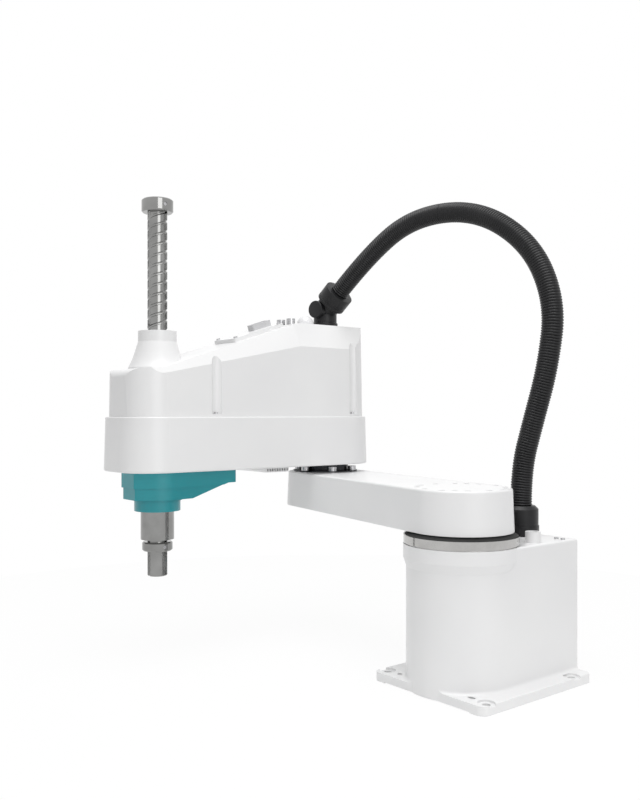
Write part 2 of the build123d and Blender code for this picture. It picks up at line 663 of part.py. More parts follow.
with BuildPart() as j1_input_shaft:
    with BuildSketch(j1_plane.offset(REDUCER_BOTTOM + SWEEP_GAP)):
        Circle(MOTOR_SHAFT_RADIUS)
    extrude(amount=SWEEP_GAP - MOTOR_BORE_SHARE * J1_MOTOR_LENGTH)
    with BuildSketch(j1_plane.offset(REDUCER_BOTTOM + SWEEP_GAP)):
        Circle(WAVE_PLUG_RADIUS)
    extrude(amount=WAVE_PLUG_HEIGHT)
j1_input_shaft.part.label = "j1_input_shaft"
export_step(j1_input_shaft.part, "parts/j1_input_shaft.step")

j1_output_flange = ring(j1_plane, REDUCER_TOP + SWEEP_GAP, ARM_1_BOTTOM, OUTPUT_FLANGE_RADIUS, SHAFT_BORE_RADIUS)
j1_output_flange.part.label = "j1_output_flange"
export_step(j1_output_flange.part, "parts/j1_output_flange.step")

# Lower arm: casting with a pocket underneath, its cover plate and the screws of both
ARM_1_POCKET_LENGTH = ARM_1_POCKET_END - ARM_1_POCKET_START
ARM_1_POCKET_MIDDLE = (ARM_1_POCKET_END + ARM_1_POCKET_START) / 2
ARM_1_SCREW_ANGLES = [quarter * 90 for quarter in range(4)] + [
    quarter * 90 + 45 + step * ARM_1_SCREW_STEP for quarter in range(4) for step in (-1, 0, 1)
]


def arm_screw_places():
    """Where the screws stand around the first axis, in the lower arm's own directions."""
    return Locations(*[
        (
            ARM_1_SCREW_CIRCLE * math.cos(math.radians(angle)),
            ARM_1_SCREW_CIRCLE * math.sin(math.radians(angle)),
        )
        for angle in ARM_1_SCREW_ANGLES
    ])


with BuildPart() as lower_arm_casting:
    with BuildSketch(lower_plane.offset(ARM_1_BOTTOM)):
        Circle(ARM_1_J1_RADIUS)
        with Locations((LOWER_ARM_LENGTH, 0)):
            Circle(ARM_1_J2_RADIUS)
        make_hull()
    extrude(amount=ARM_1_HEIGHT, taper=ARM_1_DRAFT)
    fillet(lower_arm_casting.edges().group_by(Axis.Z)[-1], ARM_1_EDGE_FILLET)
    with BuildSketch(lower_plane.offset(ARM_1_BOTTOM)):
        with Locations((ARM_1_POCKET_MIDDLE, 0)):
            RectangleRounded(ARM_1_POCKET_LENGTH, 2 * ARM_1_POCKET_HALF_WIDTH, ARM_1_COVER_LIP)
    extrude(amount=ARM_1_HEIGHT - ARM_1_TOP_WALL, mode=Mode.SUBTRACT)
    with BuildSketch(lower_plane.offset(ARM_1_BOTTOM)):
        with Locations((ARM_1_POCKET_MIDDLE, 0)):
            RectangleRounded(
                ARM_1_POCKET_LENGTH + 2 * ARM_1_COVER_LIP,
                2 * (ARM_1_POCKET_HALF_WIDTH + ARM_1_COVER_LIP),
                ARM_1_COVER_LIP,
            )
    extrude(amount=ARM_1_COVER_THICKNESS, mode=Mode.SUBTRACT)
    with BuildSketch(lower_plane.offset(ARM_1_TOP)):
        with Locations((LOWER_ARM_LENGTH, 0)):
            Circle(J2_REDUCER_RADIUS + SEAT_GAP)
    extrude(amount=-J2_REDUCER_DEPTH, mode=Mode.SUBTRACT)
    with BuildSketch(lower_plane.offset(ARM_1_TOP)):
        with arm_screw_places():
            Circle(ARM_1_SCREW_HEAD_RADIUS + SEAT_GAP)
        with Locations((LOWER_ARM_LENGTH, 0)):
            with PolarLocations(J2_BOLT_CIRCLE, J2_BOLT_COUNT, start_angle=J2_BOLT_ANGLE):
                Circle(J2_BOLT_SHANK_RADIUS + SEAT_GAP)
    extrude(amount=-ARM_1_SCREW_RECESS, mode=Mode.SUBTRACT)
lower_arm_casting.part.label = "lower_arm_casting"
export_step(lower_arm_casting.part, "parts/lower_arm_casting.step")

with BuildPart() as lower_arm_cover:
    with BuildSketch(lower_plane.offset(ARM_1_BOTTOM)):
        with Locations((ARM_1_POCKET_MIDDLE, 0)):
            RectangleRounded(
                ARM_1_POCKET_LENGTH + 2 * (ARM_1_COVER_LIP - SEAT_GAP),
                2 * (ARM_1_POCKET_HALF_WIDTH + ARM_1_COVER_LIP - SEAT_GAP),
                ARM_1_COVER_LIP - SEAT_GAP,
            )
    extrude(amount=ARM_1_COVER_THICKNESS)
lower_arm_cover.part.label = "lower_arm_cover"
export_step(lower_arm_cover.part, "parts/lower_arm_cover.step")

with BuildPart() as lower_arm_screws:
    with BuildSketch(lower_plane.offset(ARM_1_TOP - ARM_1_SCREW_RECESS)):
        with arm_screw_places():
            Circle(ARM_1_SCREW_HEAD_RADIUS)
    extrude(amount=ARM_1_SCREW_RECESS - ARM_1_SCREW_SINK)
lower_arm_screws.part.label = "lower_arm_screws"
export_step(lower_arm_screws.part, "parts/lower_arm_screws.step")

# Second joint: reducer and bolts in the lower arm, hub under the upper arm
j2_on_arm = Plane(origin=(J2_X, J2_Y, 0), x_dir=lower_plane.x_dir, z_dir=(0, 0, 1))
J2_FLANGE_TOP = ARM_1_TOP + J2_FLANGE_THICKNESS
J2_REDUCER_BOTTOM = ARM_1_TOP - J2_REDUCER_DEPTH
J2_SPIGOT_BOTTOM = J2_FLANGE_TOP - J2_SPIGOT_DEPTH
J2_PLUG_BOTTOM = J2_REDUCER_BOTTOM + J2_REDUCER_FLOOR + SWEEP_GAP
J2_PLUG_TOP = J2_SPIGOT_BOTTOM - SWEEP_GAP
with BuildPart() as j2_reducer:
    with BuildSketch(j2_on_arm.offset(J2_REDUCER_BOTTOM)):
        Circle(J2_REDUCER_RADIUS)
    extrude(amount=J2_REDUCER_DEPTH)
    with BuildSketch(j2_on_arm.offset(ARM_1_TOP)):
        Circle(J2_FLANGE_RADIUS)
        with PolarLocations(J2_BOLT_CIRCLE, J2_BOLT_COUNT, start_angle=J2_BOLT_ANGLE):
            Circle(J2_BOLT_SHANK_RADIUS + SEAT_GAP, mode=Mode.SUBTRACT)
    extrude(amount=J2_FLANGE_THICKNESS)
    with BuildSketch(j2_on_arm.offset(J2_FLANGE_TOP)):
        Circle(J2_SPIGOT_RADIUS + RUNNING_GAP)
    extrude(amount=-J2_SPIGOT_DEPTH, mode=Mode.SUBTRACT)
    with BuildSketch(j2_on_arm.offset(J2_SPIGOT_BOTTOM)):
        Circle(WAVE_PLUG_RADIUS + SWEEP_GAP)
    extrude(amount=J2_REDUCER_BOTTOM + J2_REDUCER_FLOOR - J2_SPIGOT_BOTTOM, mode=Mode.SUBTRACT)
j2_reducer.part.label = "j2_reducer"
export_step(j2_reducer.part, "parts/j2_reducer.step")

with BuildPart() as j2_bolts:
    with BuildSketch(j2_on_arm.offset(J2_FLANGE_TOP)):
        with PolarLocations(J2_BOLT_CIRCLE, J2_BOLT_COUNT, start_angle=J2_BOLT_ANGLE):
            Circle(J2_BOLT_HEAD_RADIUS)
    extrude(amount=J2_BOLT_HEAD_HEIGHT)
    with BuildSketch(j2_on_arm.offset(J2_FLANGE_TOP)):
        with PolarLocations(J2_BOLT_CIRCLE, J2_BOLT_COUNT, start_angle=J2_BOLT_ANGLE):
            Circle(J2_BOLT_SHANK_RADIUS)
    extrude(amount=-J2_FLANGE_THICKNESS - ARM_1_SCREW_RECESS + SEAT_GAP)
    with BuildSketch(j2_on_arm.offset(J2_FLANGE_TOP + J2_BOLT_HEAD_HEIGHT)):
        with PolarLocations(J2_BOLT_CIRCLE, J2_BOLT_COUNT, start_angle=J2_BOLT_ANGLE):
            RegularPolygon(J2_SOCKET_RADIUS, 6)
    extrude(amount=-J2_BOLT_HEAD_HEIGHT / 2, mode=Mode.SUBTRACT)
j2_bolts.part.label = "j2_bolts"
export_step(j2_bolts.part, "parts/j2_bolts.step")

with BuildPart() as j2_output_hub:
    with BuildSketch(upper_plane.offset(J2_SPIGOT_BOTTOM + SWEEP_GAP)):
        Circle(J2_SPIGOT_RADIUS)
    extrude(amount=J2_SPIGOT_DEPTH)
    with BuildSketch(upper_plane.offset(J2_FLANGE_TOP + SWEEP_GAP)):
        Circle(J2_HUB_RADIUS)
    extrude(amount=ARM_2_BOTTOM - J2_FLANGE_TOP - SWEEP_GAP)
    with BuildSketch(upper_plane.offset(ARM_2_BOTTOM)):
        Circle(SHAFT_BORE_RADIUS)
    extrude(amount=J2_SPIGOT_BOTTOM - ARM_2_BOTTOM, mode=Mode.SUBTRACT)
j2_output_hub.part.label = "j2_output_hub"
export_step(j2_output_hub.part, "parts/j2_output_hub.step")

with BuildPart() as j2_input_shaft:
    with BuildSketch(upper_plane.offset(J2_PLUG_BOTTOM)):
        Circle(WAVE_PLUG_RADIUS)
    extrude(amount=J2_PLUG_TOP - J2_PLUG_BOTTOM)
    with BuildSketch(upper_plane.offset(J2_PLUG_BOTTOM)):
        Circle(MOTOR_SHAFT_RADIUS)
    extrude(amount=ARM_2_FLOOR_TOP + MOTOR_BORE_SHARE * J2_MOTOR_LENGTH - SWEEP_GAP - J2_PLUG_BOTTOM)
j2_input_shaft.part.label = "j2_input_shaft"
export_step(j2_input_shaft.part, "parts/j2_input_shaft.step")

j2_motor = motor(
    upper_plane,
    ARM_2_FLOOR_TOP,
    ARM_2_FLOOR_TOP + J2_MOTOR_LENGTH,
    J2_MOTOR_SIZE,
    ENCODER_SIZE,
    ARM_2_FLOOR_TOP + J2_MOTOR_LENGTH + ENCODER_HEIGHT,
)
j2_motor.part.label = "j2_motor"
export_step(j2_motor.part, "parts/j2_motor.step")


def upper_outline(plane, inset):
    """The upper arm seen from above, round about the second axis and drawn in by an inset."""
    rear = (-ARM_2_HALF_WIDTH, 0)
    shoulder = (0, -ARM_2_HALF_WIDTH)
    corner = (ARM_2_NOSE - ARM_2_NOSE_RADIUS, -ARM_2_HALF_WIDTH)
    flat = (ARM_2_NOSE, ARM_2_NOSE_RADIUS - ARM_2_HALF_WIDTH)
    with BuildSketch(plane) as outline:
        with BuildLine():
            RadiusArc(rear, shoulder, -ARM_2_HALF_WIDTH)
            Line(shoulder, corner)
            RadiusArc(corner, flat, -ARM_2_NOSE_RADIUS)
            Line(flat, (ARM_2_NOSE, 0))
            mirror(about=Plane.XZ)
        make_face()
        if inset > 0:
            offset(amount=-inset, kind=Kind.INTERSECTION, mode=Mode.REPLACE)
    return outline.sketch


# Upper arm casting: an open tray that carries both quill drives
with BuildPart() as upper_arm_casting:
    extrude(upper_outline(upper_plane.offset(ARM_2_BOTTOM), 0), amount=ARM_2_CASTING_HEIGHT, taper=ARM_2_DRAFT)
    fillet(upper_arm_casting.edges().group_by(Axis.Z)[0], ARM_2_BOTTOM_FILLET)
    fillet(upper_arm_casting.edges().group_by(Axis.Z)[-1], ARM_2_TOP_FILLET)
    extrude(
        upper_outline(upper_plane.offset(ARM_2_FLOOR_TOP), ARM_2_WALL),
        amount=ARM_2_CASTING_HEIGHT,
        mode=Mode.SUBTRACT,
    )
    with BuildSketch(upper_plane.offset(ARM_2_BOTTOM)):
        Circle(SHAFT_BORE_RADIUS)
        with Locations((UPPER_ARM_LENGTH, 0)):
            Circle(SPLINE_HOUSING_RADIUS + SEAT_GAP)
    extrude(amount=ARM_2_FLOOR, mode=Mode.SUBTRACT)
upper_arm_casting.part.label = "upper_arm_casting"
export_step(upper_arm_casting.part, "parts/upper_arm_casting.step")

# Upper cover: a drafted shell under a slope, with two chamfers on each side
SLOPE_PLANE = Plane(
    origin=(QUILL_X, QUILL_Y, PARTING + SLOPE_HEIGHT_AT_QUILL),
    x_dir=(1, 0, -SLOPE_GRADE),
    z_dir=(SLOPE_GRADE, 0, 1),
)
SLOPE_STRETCH = math.hypot(1, SLOPE_GRADE)
COVER_SIDE = ARM_2_HALF_WIDTH - COVER_INSET
COVER_NOSE = ARM_2_NOSE - COVER_INSET
FLUTES = [
    (FLUTE_FRONT_X, COVER_SIDE + FLUTE_OFFSET),
    (FLUTE_FRONT_X, -COVER_SIDE - FLUTE_OFFSET),
    (FLUTE_REAR_X, COVER_SIDE + FLUTE_OFFSET - FLUTE_REAR_INSET),
    (FLUTE_REAR_X, -COVER_SIDE - FLUTE_OFFSET + FLUTE_REAR_INSET),
]


def cover_form(wall):
    """The cover's outer form when the wall is zero, otherwise the space inside that wall."""
    side_plane = Plane(origin=(J2_X, J2_Y + ARM_2_HALF_WIDTH, PARTING), x_dir=(1, 0, 0), z_dir=(0, -1, 0))
    tail = -ARM_2_HALF_WIDTH
    front = COVER_NOSE - COVER_FRONT_LEAN - wall
    with BuildPart() as form:
        with BuildSketch(side_plane):
            with BuildLine():
                FilletPolyline(
                    (tail, COVER_TOP - wall),
                    (CREST_X, COVER_TOP - wall),
                    (KNEE_X, SLOPE_HEIGHT_AT_QUILL - (KNEE_X - UPPER_ARM_LENGTH) * SLOPE_GRADE - wall),
                    (front, NOSE_HEIGHT - wall),
                    (front, 0),
                    radius=[CREST_RADIUS, KNEE_RADIUS, COVER_NOSE_FILLET],
                )
                Line((front, 0), (tail, 0))
                Line((tail, 0), (tail, COVER_TOP - wall))
            make_face()
        extrude(amount=2 * ARM_2_HALF_WIDTH)
        extrude(
            upper_outline(upper_plane.offset(PARTING), COVER_INSET + wall),
            amount=COVER_TOP + wall,
            taper=COVER_DRAFT,
            mode=Mode.INTERSECT,
        )
        for side in (1, -1):
            rear_chamfer = Plane(
                origin=(J2_X, J2_Y + side * CHAMFER_HALF_WIDTH, PARTING + CHAMFER_HEIGHT_REAR),
                z_dir=(0, side * CHAMFER_GRADE, 1),
            )
            front_chamfer = Plane(
                origin=(J2_X + CHAMFER_FRONT_X, J2_Y + side * CHAMFER_HALF_WIDTH, PARTING + CHAMFER_HEIGHT_FRONT),
                z_dir=(CHAMFER_RISE, side * CHAMFER_GRADE, 1),
            )
            split(bisect_by=rear_chamfer.offset(-wall), keep=Keep.BOTTOM)
            split(bisect_by=front_chamfer.offset(-wall), keep=Keep.BOTTOM)
    return form


def flute_posts(plane, radius, height):
    """Four upright posts where the cover's screw flutes stand."""
    with BuildPart() as posts:
        with BuildSketch(plane):
            with Locations(*FLUTES):
                Circle(radius)
        extrude(amount=height)
    return posts


with BuildPart() as cover_hollow:
    add(cover_form(COVER_WALL))
    add(flute_posts(upper_plane.offset(PARTING), FLUTE_RADIUS + COVER_WALL, COVER_TOP), mode=Mode.SUBTRACT)

turret_section = Plane(origin=(QUILL_X, QUILL_Y, PARTING), x_dir=(1, 0, 0), z_dir=(0, -1, 0))
with BuildPart() as upper_cover:
    add(cover_form(0))
    with BuildSketch(turret_section):
        with BuildLine():
            side_line = Line((TURRET_TOP_RADIUS, TURRET_TOP), (TURRET_WAIST_RADIUS, TURRET_WAIST))
            TangentArc(side_line @ 1, (TURRET_FOOT_RADIUS, TURRET_FOOT), tangent=side_line % 1)
            Polyline(
                (TURRET_FOOT_RADIUS, TURRET_FOOT),
                (TURRET_FOOT_RADIUS, NOSE_HEIGHT / 2),
                (0, NOSE_HEIGHT / 2),
                (0, TURRET_TOP),
                (TURRET_TOP_RADIUS, TURRET_TOP),
            )
        make_face()
    revolve(axis=Axis((QUILL_X, QUILL_Y, 0), (0, 0, 1)))
    add(cover_hollow, mode=Mode.SUBTRACT)
    add(
        flute_posts(upper_plane.offset(PARTING + FLUTE_FOOT), FLUTE_RADIUS, COVER_TOP),
        mode=Mode.SUBTRACT,
    )
    with BuildSketch(quill_plane.offset(PARTING)):
        Circle(TURRET_BORE)
    extrude(amount=TURRET_TOP, mode=Mode.SUBTRACT)
    with BuildSketch(upper_plane.offset(PARTING)):
        with Locations((BUTTON_X, BUTTON_Y)):
            Circle(BUTTON_RADIUS + RUNNING_GAP)
    extrude(amount=COVER_TOP, mode=Mode.SUBTRACT)
upper_cover.part.label = "upper_cover"
export_step(upper_cover.part, "parts/upper_cover.step")

turret_ring = ring(quill_plane, PARTING + TURRET_TOP, PARTING + TURRET_TOP + GUARD_HEIGHT, TURRET_TOP_RADIUS, TURRET_BORE)
turret_ring.part.label = "turret_ring"
export_step(turret_ring.part, "parts/turret_ring.step")

# Top panel on the slope, with its connector
panel_on_slope = SLOPE_PLANE.shift_origin(SLOPE_PLANE.from_local_coords(((PANEL_X - UPPER_ARM_LENGTH) * SLOPE_STRETCH, 0, 0)))
with BuildPart() as top_panel:
    with BuildSketch(panel_on_slope):
        RectangleRounded(PANEL_LENGTH, PANEL_WIDTH, PANEL_CORNER)
    extrude(amount=PANEL_HEIGHT)
top_panel.part.label = "top_panel"
export_step(top_panel.part, "parts/top_panel.step")

# Screws in the cover's flutes and on its panel
with BuildPart() as cover_screws:
    with BuildSketch(upper_plane.offset(PARTING + FLUTE_FOOT)):
        with Locations(*[(x, y - math.copysign(COVER_SCREW_SHIFT, y)) for x, y in FLUTES]):
            Circle(COVER_SCREW_RADIUS)
    extrude(amount=COVER_SCREW_HEIGHT)
    with BuildSketch(panel_on_slope.offset(PANEL_HEIGHT)):
        with GridLocations(PANEL_LENGTH - 2 * PANEL_SCREW_INSET, PANEL_WIDTH - 2 * PANEL_SCREW_INSET, 2, 2):
            Circle(PANEL_SCREW_RADIUS)
    extrude(amount=PANEL_SCREW_HEIGHT)
cover_screws.part.label = "cover_screws"
export_step(cover_screws.part, "parts/cover_screws.step")

with BuildPart() as dsub_connector:
    with BuildSketch(panel_on_slope.offset(PANEL_HEIGHT)):
        with Locations((DSUB_SHIFT, 0)):
            RectangleRounded(DSUB_LENGTH, DSUB_WIDTH, PANEL_CORNER / 2)
    extrude(amount=DSUB_HEIGHT)
    with BuildSketch(panel_on_slope.offset(PANEL_HEIGHT + DSUB_HEIGHT)):
        with Locations((DSUB_SHIFT, 0)):
            Rectangle(DSUB_LENGTH - 4 * PLUG_WALL, DSUB_WIDTH - 2 * PLUG_WALL)
    extrude(amount=-DSUB_HEIGHT / 2, mode=Mode.SUBTRACT)
dsub_connector.part.label = "dsub_connector"
export_step(dsub_connector.part, "parts/dsub_connector.step")

# Air ports, lamp and brake release button on the flat top
with BuildPart() as top_air_ports:
    with BuildSketch(upper_plane.offset(COVER_TOP_Z)):
        with Locations((AIR_PORT_X, AIR_PORT_Y), (AIR_PORT_X, -AIR_PORT_Y)):
            Circle(AIR_PORT_RADIUS)
            Circle(AIR_PORT_BORE, mode=Mode.SUBTRACT)
    extrude(amount=AIR_PORT_HEIGHT)
top_air_ports.part.label = "top_air_ports"
export_step(top_air_ports.part, "parts/top_air_ports.step")

with BuildPart() as lamp_base:
    with BuildSketch(upper_plane.offset(COVER_TOP_Z)):
        with Locations((LAMP_X, 0)):
            Circle(LAMP_RADIUS)
    extrude(amount=LAMP_BASE_HEIGHT)
lamp_base.part.label = "lamp_base"
export_step(lamp_base.part, "parts/lamp_base.step")

LAMP_DOME_RADIUS = LAMP_RADIUS - SWEEP_GAP
with BuildPart() as lamp_dome:
    with Locations((J2_X + LAMP_X, J2_Y, COVER_TOP_Z + LAMP_BASE_HEIGHT)):
        Sphere(LAMP_DOME_RADIUS, arc_size1=0, align=CENTRE_BOTTOM)
lamp_dome.part.label = "lamp_dome"
export_step(lamp_dome.part, "parts/lamp_dome.step")

with BuildPart() as brake_button:
    with BuildSketch(upper_plane.offset(COVER_TOP_Z + BUTTON_HEIGHT)):
        with Locations((BUTTON_X, BUTTON_Y)):
            Circle(BUTTON_RADIUS)
    extrude(amount=-BUTTON_HEIGHT - COVER_WALL)
    fillet(brake_button.edges().sort_by(Axis.Z)[-1], BUTTON_FILLET)
brake_button.part.label = "brake_button"
export_step(brake_button.part, "parts/brake_button.step")

# Hose elbow over the second axis
elbow_centre = Vector(J2_X, J2_Y, COVER_TOP_Z + ELBOW_HEIGHT)
tilt = math.radians(ELBOW_TILT)
heading = math.radians(ELBOW_HEADING)
elbow_direction = Vector(
    math.sin(tilt) * math.cos(heading),
    math.sin(tilt) * math.sin(heading),
    math.cos(tilt),
)
elbow_plane = Plane(origin=elbow_centre, z_dir=elbow_direction)
knuckle_plane = Plane(origin=elbow_centre, z_dir=(elbow_direction.Y, -elbow_direction.X, 0))
with BuildPart() as elbow:
    with BuildSketch(upper_plane.offset(COVER_TOP_Z)):
        Circle(ELBOW_BASE_RADIUS)
    extrude(amount=ELBOW_BASE_HEIGHT)
    with BuildSketch(upper_plane.offset(COVER_TOP_Z)):
        Circle(ELBOW_NECK_RADIUS)
    extrude(amount=ELBOW_HEIGHT)
    with Locations(elbow_centre):
        Sphere(ELBOW_BALL_RADIUS)
    with BuildSketch(elbow_plane):
        Circle(ELBOW_STUB_RADIUS)
    extrude(amount=ELBOW_REACH - ELBOW_NUT_LENGTH)
    with BuildSketch(knuckle_plane):
        Circle(ELBOW_KNUCKLE_RADIUS)
    extrude(amount=ELBOW_KNUCKLE_LENGTH)
    with BuildSketch(elbow_plane):
        Circle(ELBOW_BORE_RADIUS)
    extrude(amount=ELBOW_REACH, mode=Mode.SUBTRACT)
    with BuildSketch(upper_plane.offset(COVER_TOP_Z)):
        Circle(ELBOW_BORE_RADIUS)
    extrude(amount=ELBOW_HEIGHT, mode=Mode.SUBTRACT)
elbow.part.label = "elbow"
export_step(elbow.part, "parts/elbow.step")

elbow_nut_plane = elbow_plane.offset(ELBOW_REACH)
with BuildPart() as elbow_nut:
    with BuildSketch(elbow_nut_plane):
        Circle(ELBOW_NUT_RADIUS)
    extrude(amount=-ELBOW_NUT_LENGTH)
    chamfer(elbow_nut.edges().filter_by(GeomType.CIRCLE), ELBOW_NUT_CHAMFER)
    with BuildSketch(elbow_nut_plane):
        Circle(ELBOW_BORE_RADIUS)
    extrude(amount=-ELBOW_NUT_LENGTH, mode=Mode.SUBTRACT)
elbow_nut.part.label = "elbow_nut"
export_step(elbow_nut.part, "parts/elbow_nut.step")


def housing_outline(plane, inset):
    """The spindle housing seen from above: a round body with a flat nose and a straight tail."""
    with BuildSketch(plane) as outline:
        Circle(HOUSING_RADIUS - inset)
        with Locations((HOUSING_NOSE - inset - HOUSING_WALL / 2, 0)):
            Rectangle(HOUSING_WALL, 2 * (HOUSING_NOSE_HALF_WIDTH - inset / 2))
        with Locations((inset + HOUSING_WALL / 2 - HOUSING_TAIL, 0)):
            Rectangle(HOUSING_WALL, 2 * (HOUSING_TAIL_HALF_WIDTH - inset))
        make_hull()
    return outline.sketch


# Spindle housing, the ring below it and the vent cover
housing_side = Plane(origin=(QUILL_X, QUILL_Y + ARM_2_HALF_WIDTH, HOUSING_BOTTOM), x_dir=(1, 0, 0), z_dir=(0, -1, 0))
HOUSING_TAIL_RISE = ARM_2_BOTTOM - HOUSING_TAIL_DROP - HOUSING_BOTTOM
with BuildPart() as spindle_housing:
    extrude(housing_outline(quill_plane.offset(HOUSING_STEP), 0), amount=ARM_2_BOTTOM - HOUSING_STEP)
    extrude(housing_outline(quill_plane.offset(HOUSING_BOTTOM), HOUSING_TIER), amount=HOUSING_STEP - HOUSING_BOTTOM)
    with BuildSketch(housing_side):
        with BuildLine():
            Polyline(
                (-HOUSING_FLAT, 0),
                (HOUSING_SLOPE_END - HOUSING_TAIL, HOUSING_TAIL_RISE),
                (-2 * HOUSING_TAIL, HOUSING_TAIL_RISE),
                (-2 * HOUSING_TAIL, -HOUSING_WALL),
                (-HOUSING_FLAT, -HOUSING_WALL),
                close=True,
            )
        make_face()
    extrude(amount=2 * ARM_2_HALF_WIDTH, mode=Mode.SUBTRACT)
    with BuildSketch(quill_plane.offset(HOUSING_BOTTOM)):
        Circle(SPLINE_HOUSING_RADIUS + SEAT_GAP)
    extrude(amount=ARM_2_BOTTOM - HOUSING_BOTTOM, mode=Mode.SUBTRACT)
spindle_housing.part.label = "spindle_housing"
export_step(spindle_housing.part, "parts/spindle_housing.step")

with BuildPart() as spindle_ring:
    with BuildSketch(quill_plane.offset(LOWER_RING_BOTTOM)):
        Circle(LOWER_RING_RADIUS)
    extrude(amount=HOUSING_BOTTOM - LOWER_RING_BOTTOM)
    with BuildSketch(quill_plane.offset(HOUSING_BOTTOM)):
        Circle(LOWER_RING_FLANGE_RADIUS)
    extrude(amount=-LOWER_RING_FLANGE_HEIGHT)
    with BuildSketch(quill_plane.offset(HOUSING_BOTTOM)):
        Circle(SLEEVE_RADIUS + SWEEP_GAP)
    extrude(amount=LOWER_RING_BOTTOM - HOUSING_BOTTOM, mode=Mode.SUBTRACT)
spindle_ring.part.label = "spindle_ring"
export_step(spindle_ring.part, "parts/spindle_ring.step")

vent_side = Plane(origin=(J2_X, J2_Y + VENT_HALF_WIDTH, ARM_2_BOTTOM), x_dir=(1, 0, 0), z_dir=(0, -1, 0))
with BuildPart() as vent_cover:
    with BuildSketch(vent_side):
        with BuildLine():
            Polyline(
                (VENT_REAR, 0),
                (VENT_REAR, -VENT_DROP),
                (VENT_FLAT_END, -VENT_DROP),
                (VENT_FRONT, 0),
                close=True,
            )
        make_face()
    extrude(amount=2 * VENT_HALF_WIDTH)
    with BuildSketch(vent_side.offset(VENT_WALL)):
        with BuildLine():
            Polyline(
                (VENT_REAR + VENT_WALL, 0),
                (VENT_REAR + VENT_WALL, VENT_WALL - VENT_DROP),
                (VENT_FLAT_END, VENT_WALL - VENT_DROP),
                (VENT_FRONT - 4 * VENT_WALL, 0),
                close=True,
            )
        make_face()
    extrude(amount=2 * (VENT_HALF_WIDTH - VENT_WALL), mode=Mode.SUBTRACT)
    with BuildSketch(vent_side):
        with Locations(((VENT_REAR + VENT_FLAT_END) / 2, -VENT_DROP / 2)):
            with GridLocations(VENT_SLOT_PITCH, 1, VENT_SLOT_COUNT, 1):
                Rectangle(VENT_SLOT_WIDTH, VENT_SLOT_HEIGHT)
    extrude(amount=2 * VENT_HALF_WIDTH, mode=Mode.SUBTRACT)
vent_cover.part.label = "vent_cover"
export_step(vent_cover.part, "parts/vent_cover.step")

# Fourth joint drive: spline nut in its housing, turned by a belt
SPLINE_BEARING_LEVELS = (HOUSING_BOTTOM + BEARING_HEIGHT / 2, ARM_2_FLOOR_TOP - BEARING_HEIGHT)
with BuildPart() as spline_housing:
    with BuildSketch(quill_plane.offset(HOUSING_BOTTOM)):
        Circle(SPLINE_HOUSING_RADIUS)
    extrude(amount=ARM_2_FLOOR_TOP - HOUSING_BOTTOM)
    with BuildSketch(quill_plane.offset(ARM_2_FLOOR_TOP)):
        Circle(SPLINE_HOUSING_FLANGE)
    extrude(amount=SPLINE_HOUSING_FLANGE_HEIGHT)
    with BuildSketch(quill_plane.offset(HOUSING_BOTTOM)):
        Circle(BEARING_RADIUS + SEAT_GAP)
    extrude(amount=ARM_2_FLOOR_TOP + SPLINE_HOUSING_FLANGE_HEIGHT - HOUSING_BOTTOM, mode=Mode.SUBTRACT)
spline_housing.part.label = "spline_housing"
export_step(spline_housing.part, "parts/spline_housing.step")

BRACKET_TOP = BALL_NUT_BOTTOM + BRACKET_PLATE + BEARING_HEIGHT
with BuildPart() as quill_bearings:
    for level in (*SPLINE_BEARING_LEVELS, BRACKET_TOP - BEARING_HEIGHT):
        with BuildSketch(quill_plane.offset(level)):
            Circle(BEARING_RADIUS)
            Circle(NUT_RADIUS + RUNNING_GAP, mode=Mode.SUBTRACT)
        extrude(amount=BEARING_HEIGHT)
quill_bearings.part.label = "quill_bearings"
export_step(quill_bearings.part, "parts/quill_bearings.step")

spline_nut = ring(quill_plane, SLEEVE_TOP, SPLINE_NUT_TOP, NUT_RADIUS, SHAFT_RADIUS + RUNNING_GAP)
spline_nut.part.label = "spline_nut"
export_step(spline_nut.part, "parts/spline_nut.step")

quill_sleeve = ring(quill_plane, SLEEVE_BOTTOM, SLEEVE_TOP, SLEEVE_RADIUS, SHAFT_RADIUS + RUNNING_GAP)
quill_sleeve.part.label = "quill_sleeve"
export_step(quill_sleeve.part, "parts/quill_sleeve.step")

spline_pulley = ring(
    quill_plane,
    J4_PULLEY_Z,
    J4_PULLEY_Z + PULLEY_HEIGHT,
    QUILL_PULLEY_RADIUS,
    NUT_RADIUS + RUNNING_GAP,
)
spline_pulley.part.label = "spline_pulley"
export_step(spline_pulley.part, "parts/spline_pulley.step")

# Third joint drive: ball nut on its bracket, turned by a second belt
ball_nut = ring(quill_plane, BALL_NUT_BOTTOM, BALL_NUT_TOP, NUT_RADIUS, SHAFT_RADIUS + RUNNING_GAP)
ball_nut.part.label = "ball_nut"
export_step(ball_nut.part, "parts/ball_nut.step")

nut_pulley = ring(
    quill_plane,
    J3_PULLEY_Z,
    J3_PULLEY_Z + PULLEY_HEIGHT,
    QUILL_PULLEY_RADIUS,
    NUT_RADIUS + RUNNING_GAP,
)
nut_pulley.part.label = "nut_pulley"
export_step(nut_pulley.part, "parts/nut_pulley.step")

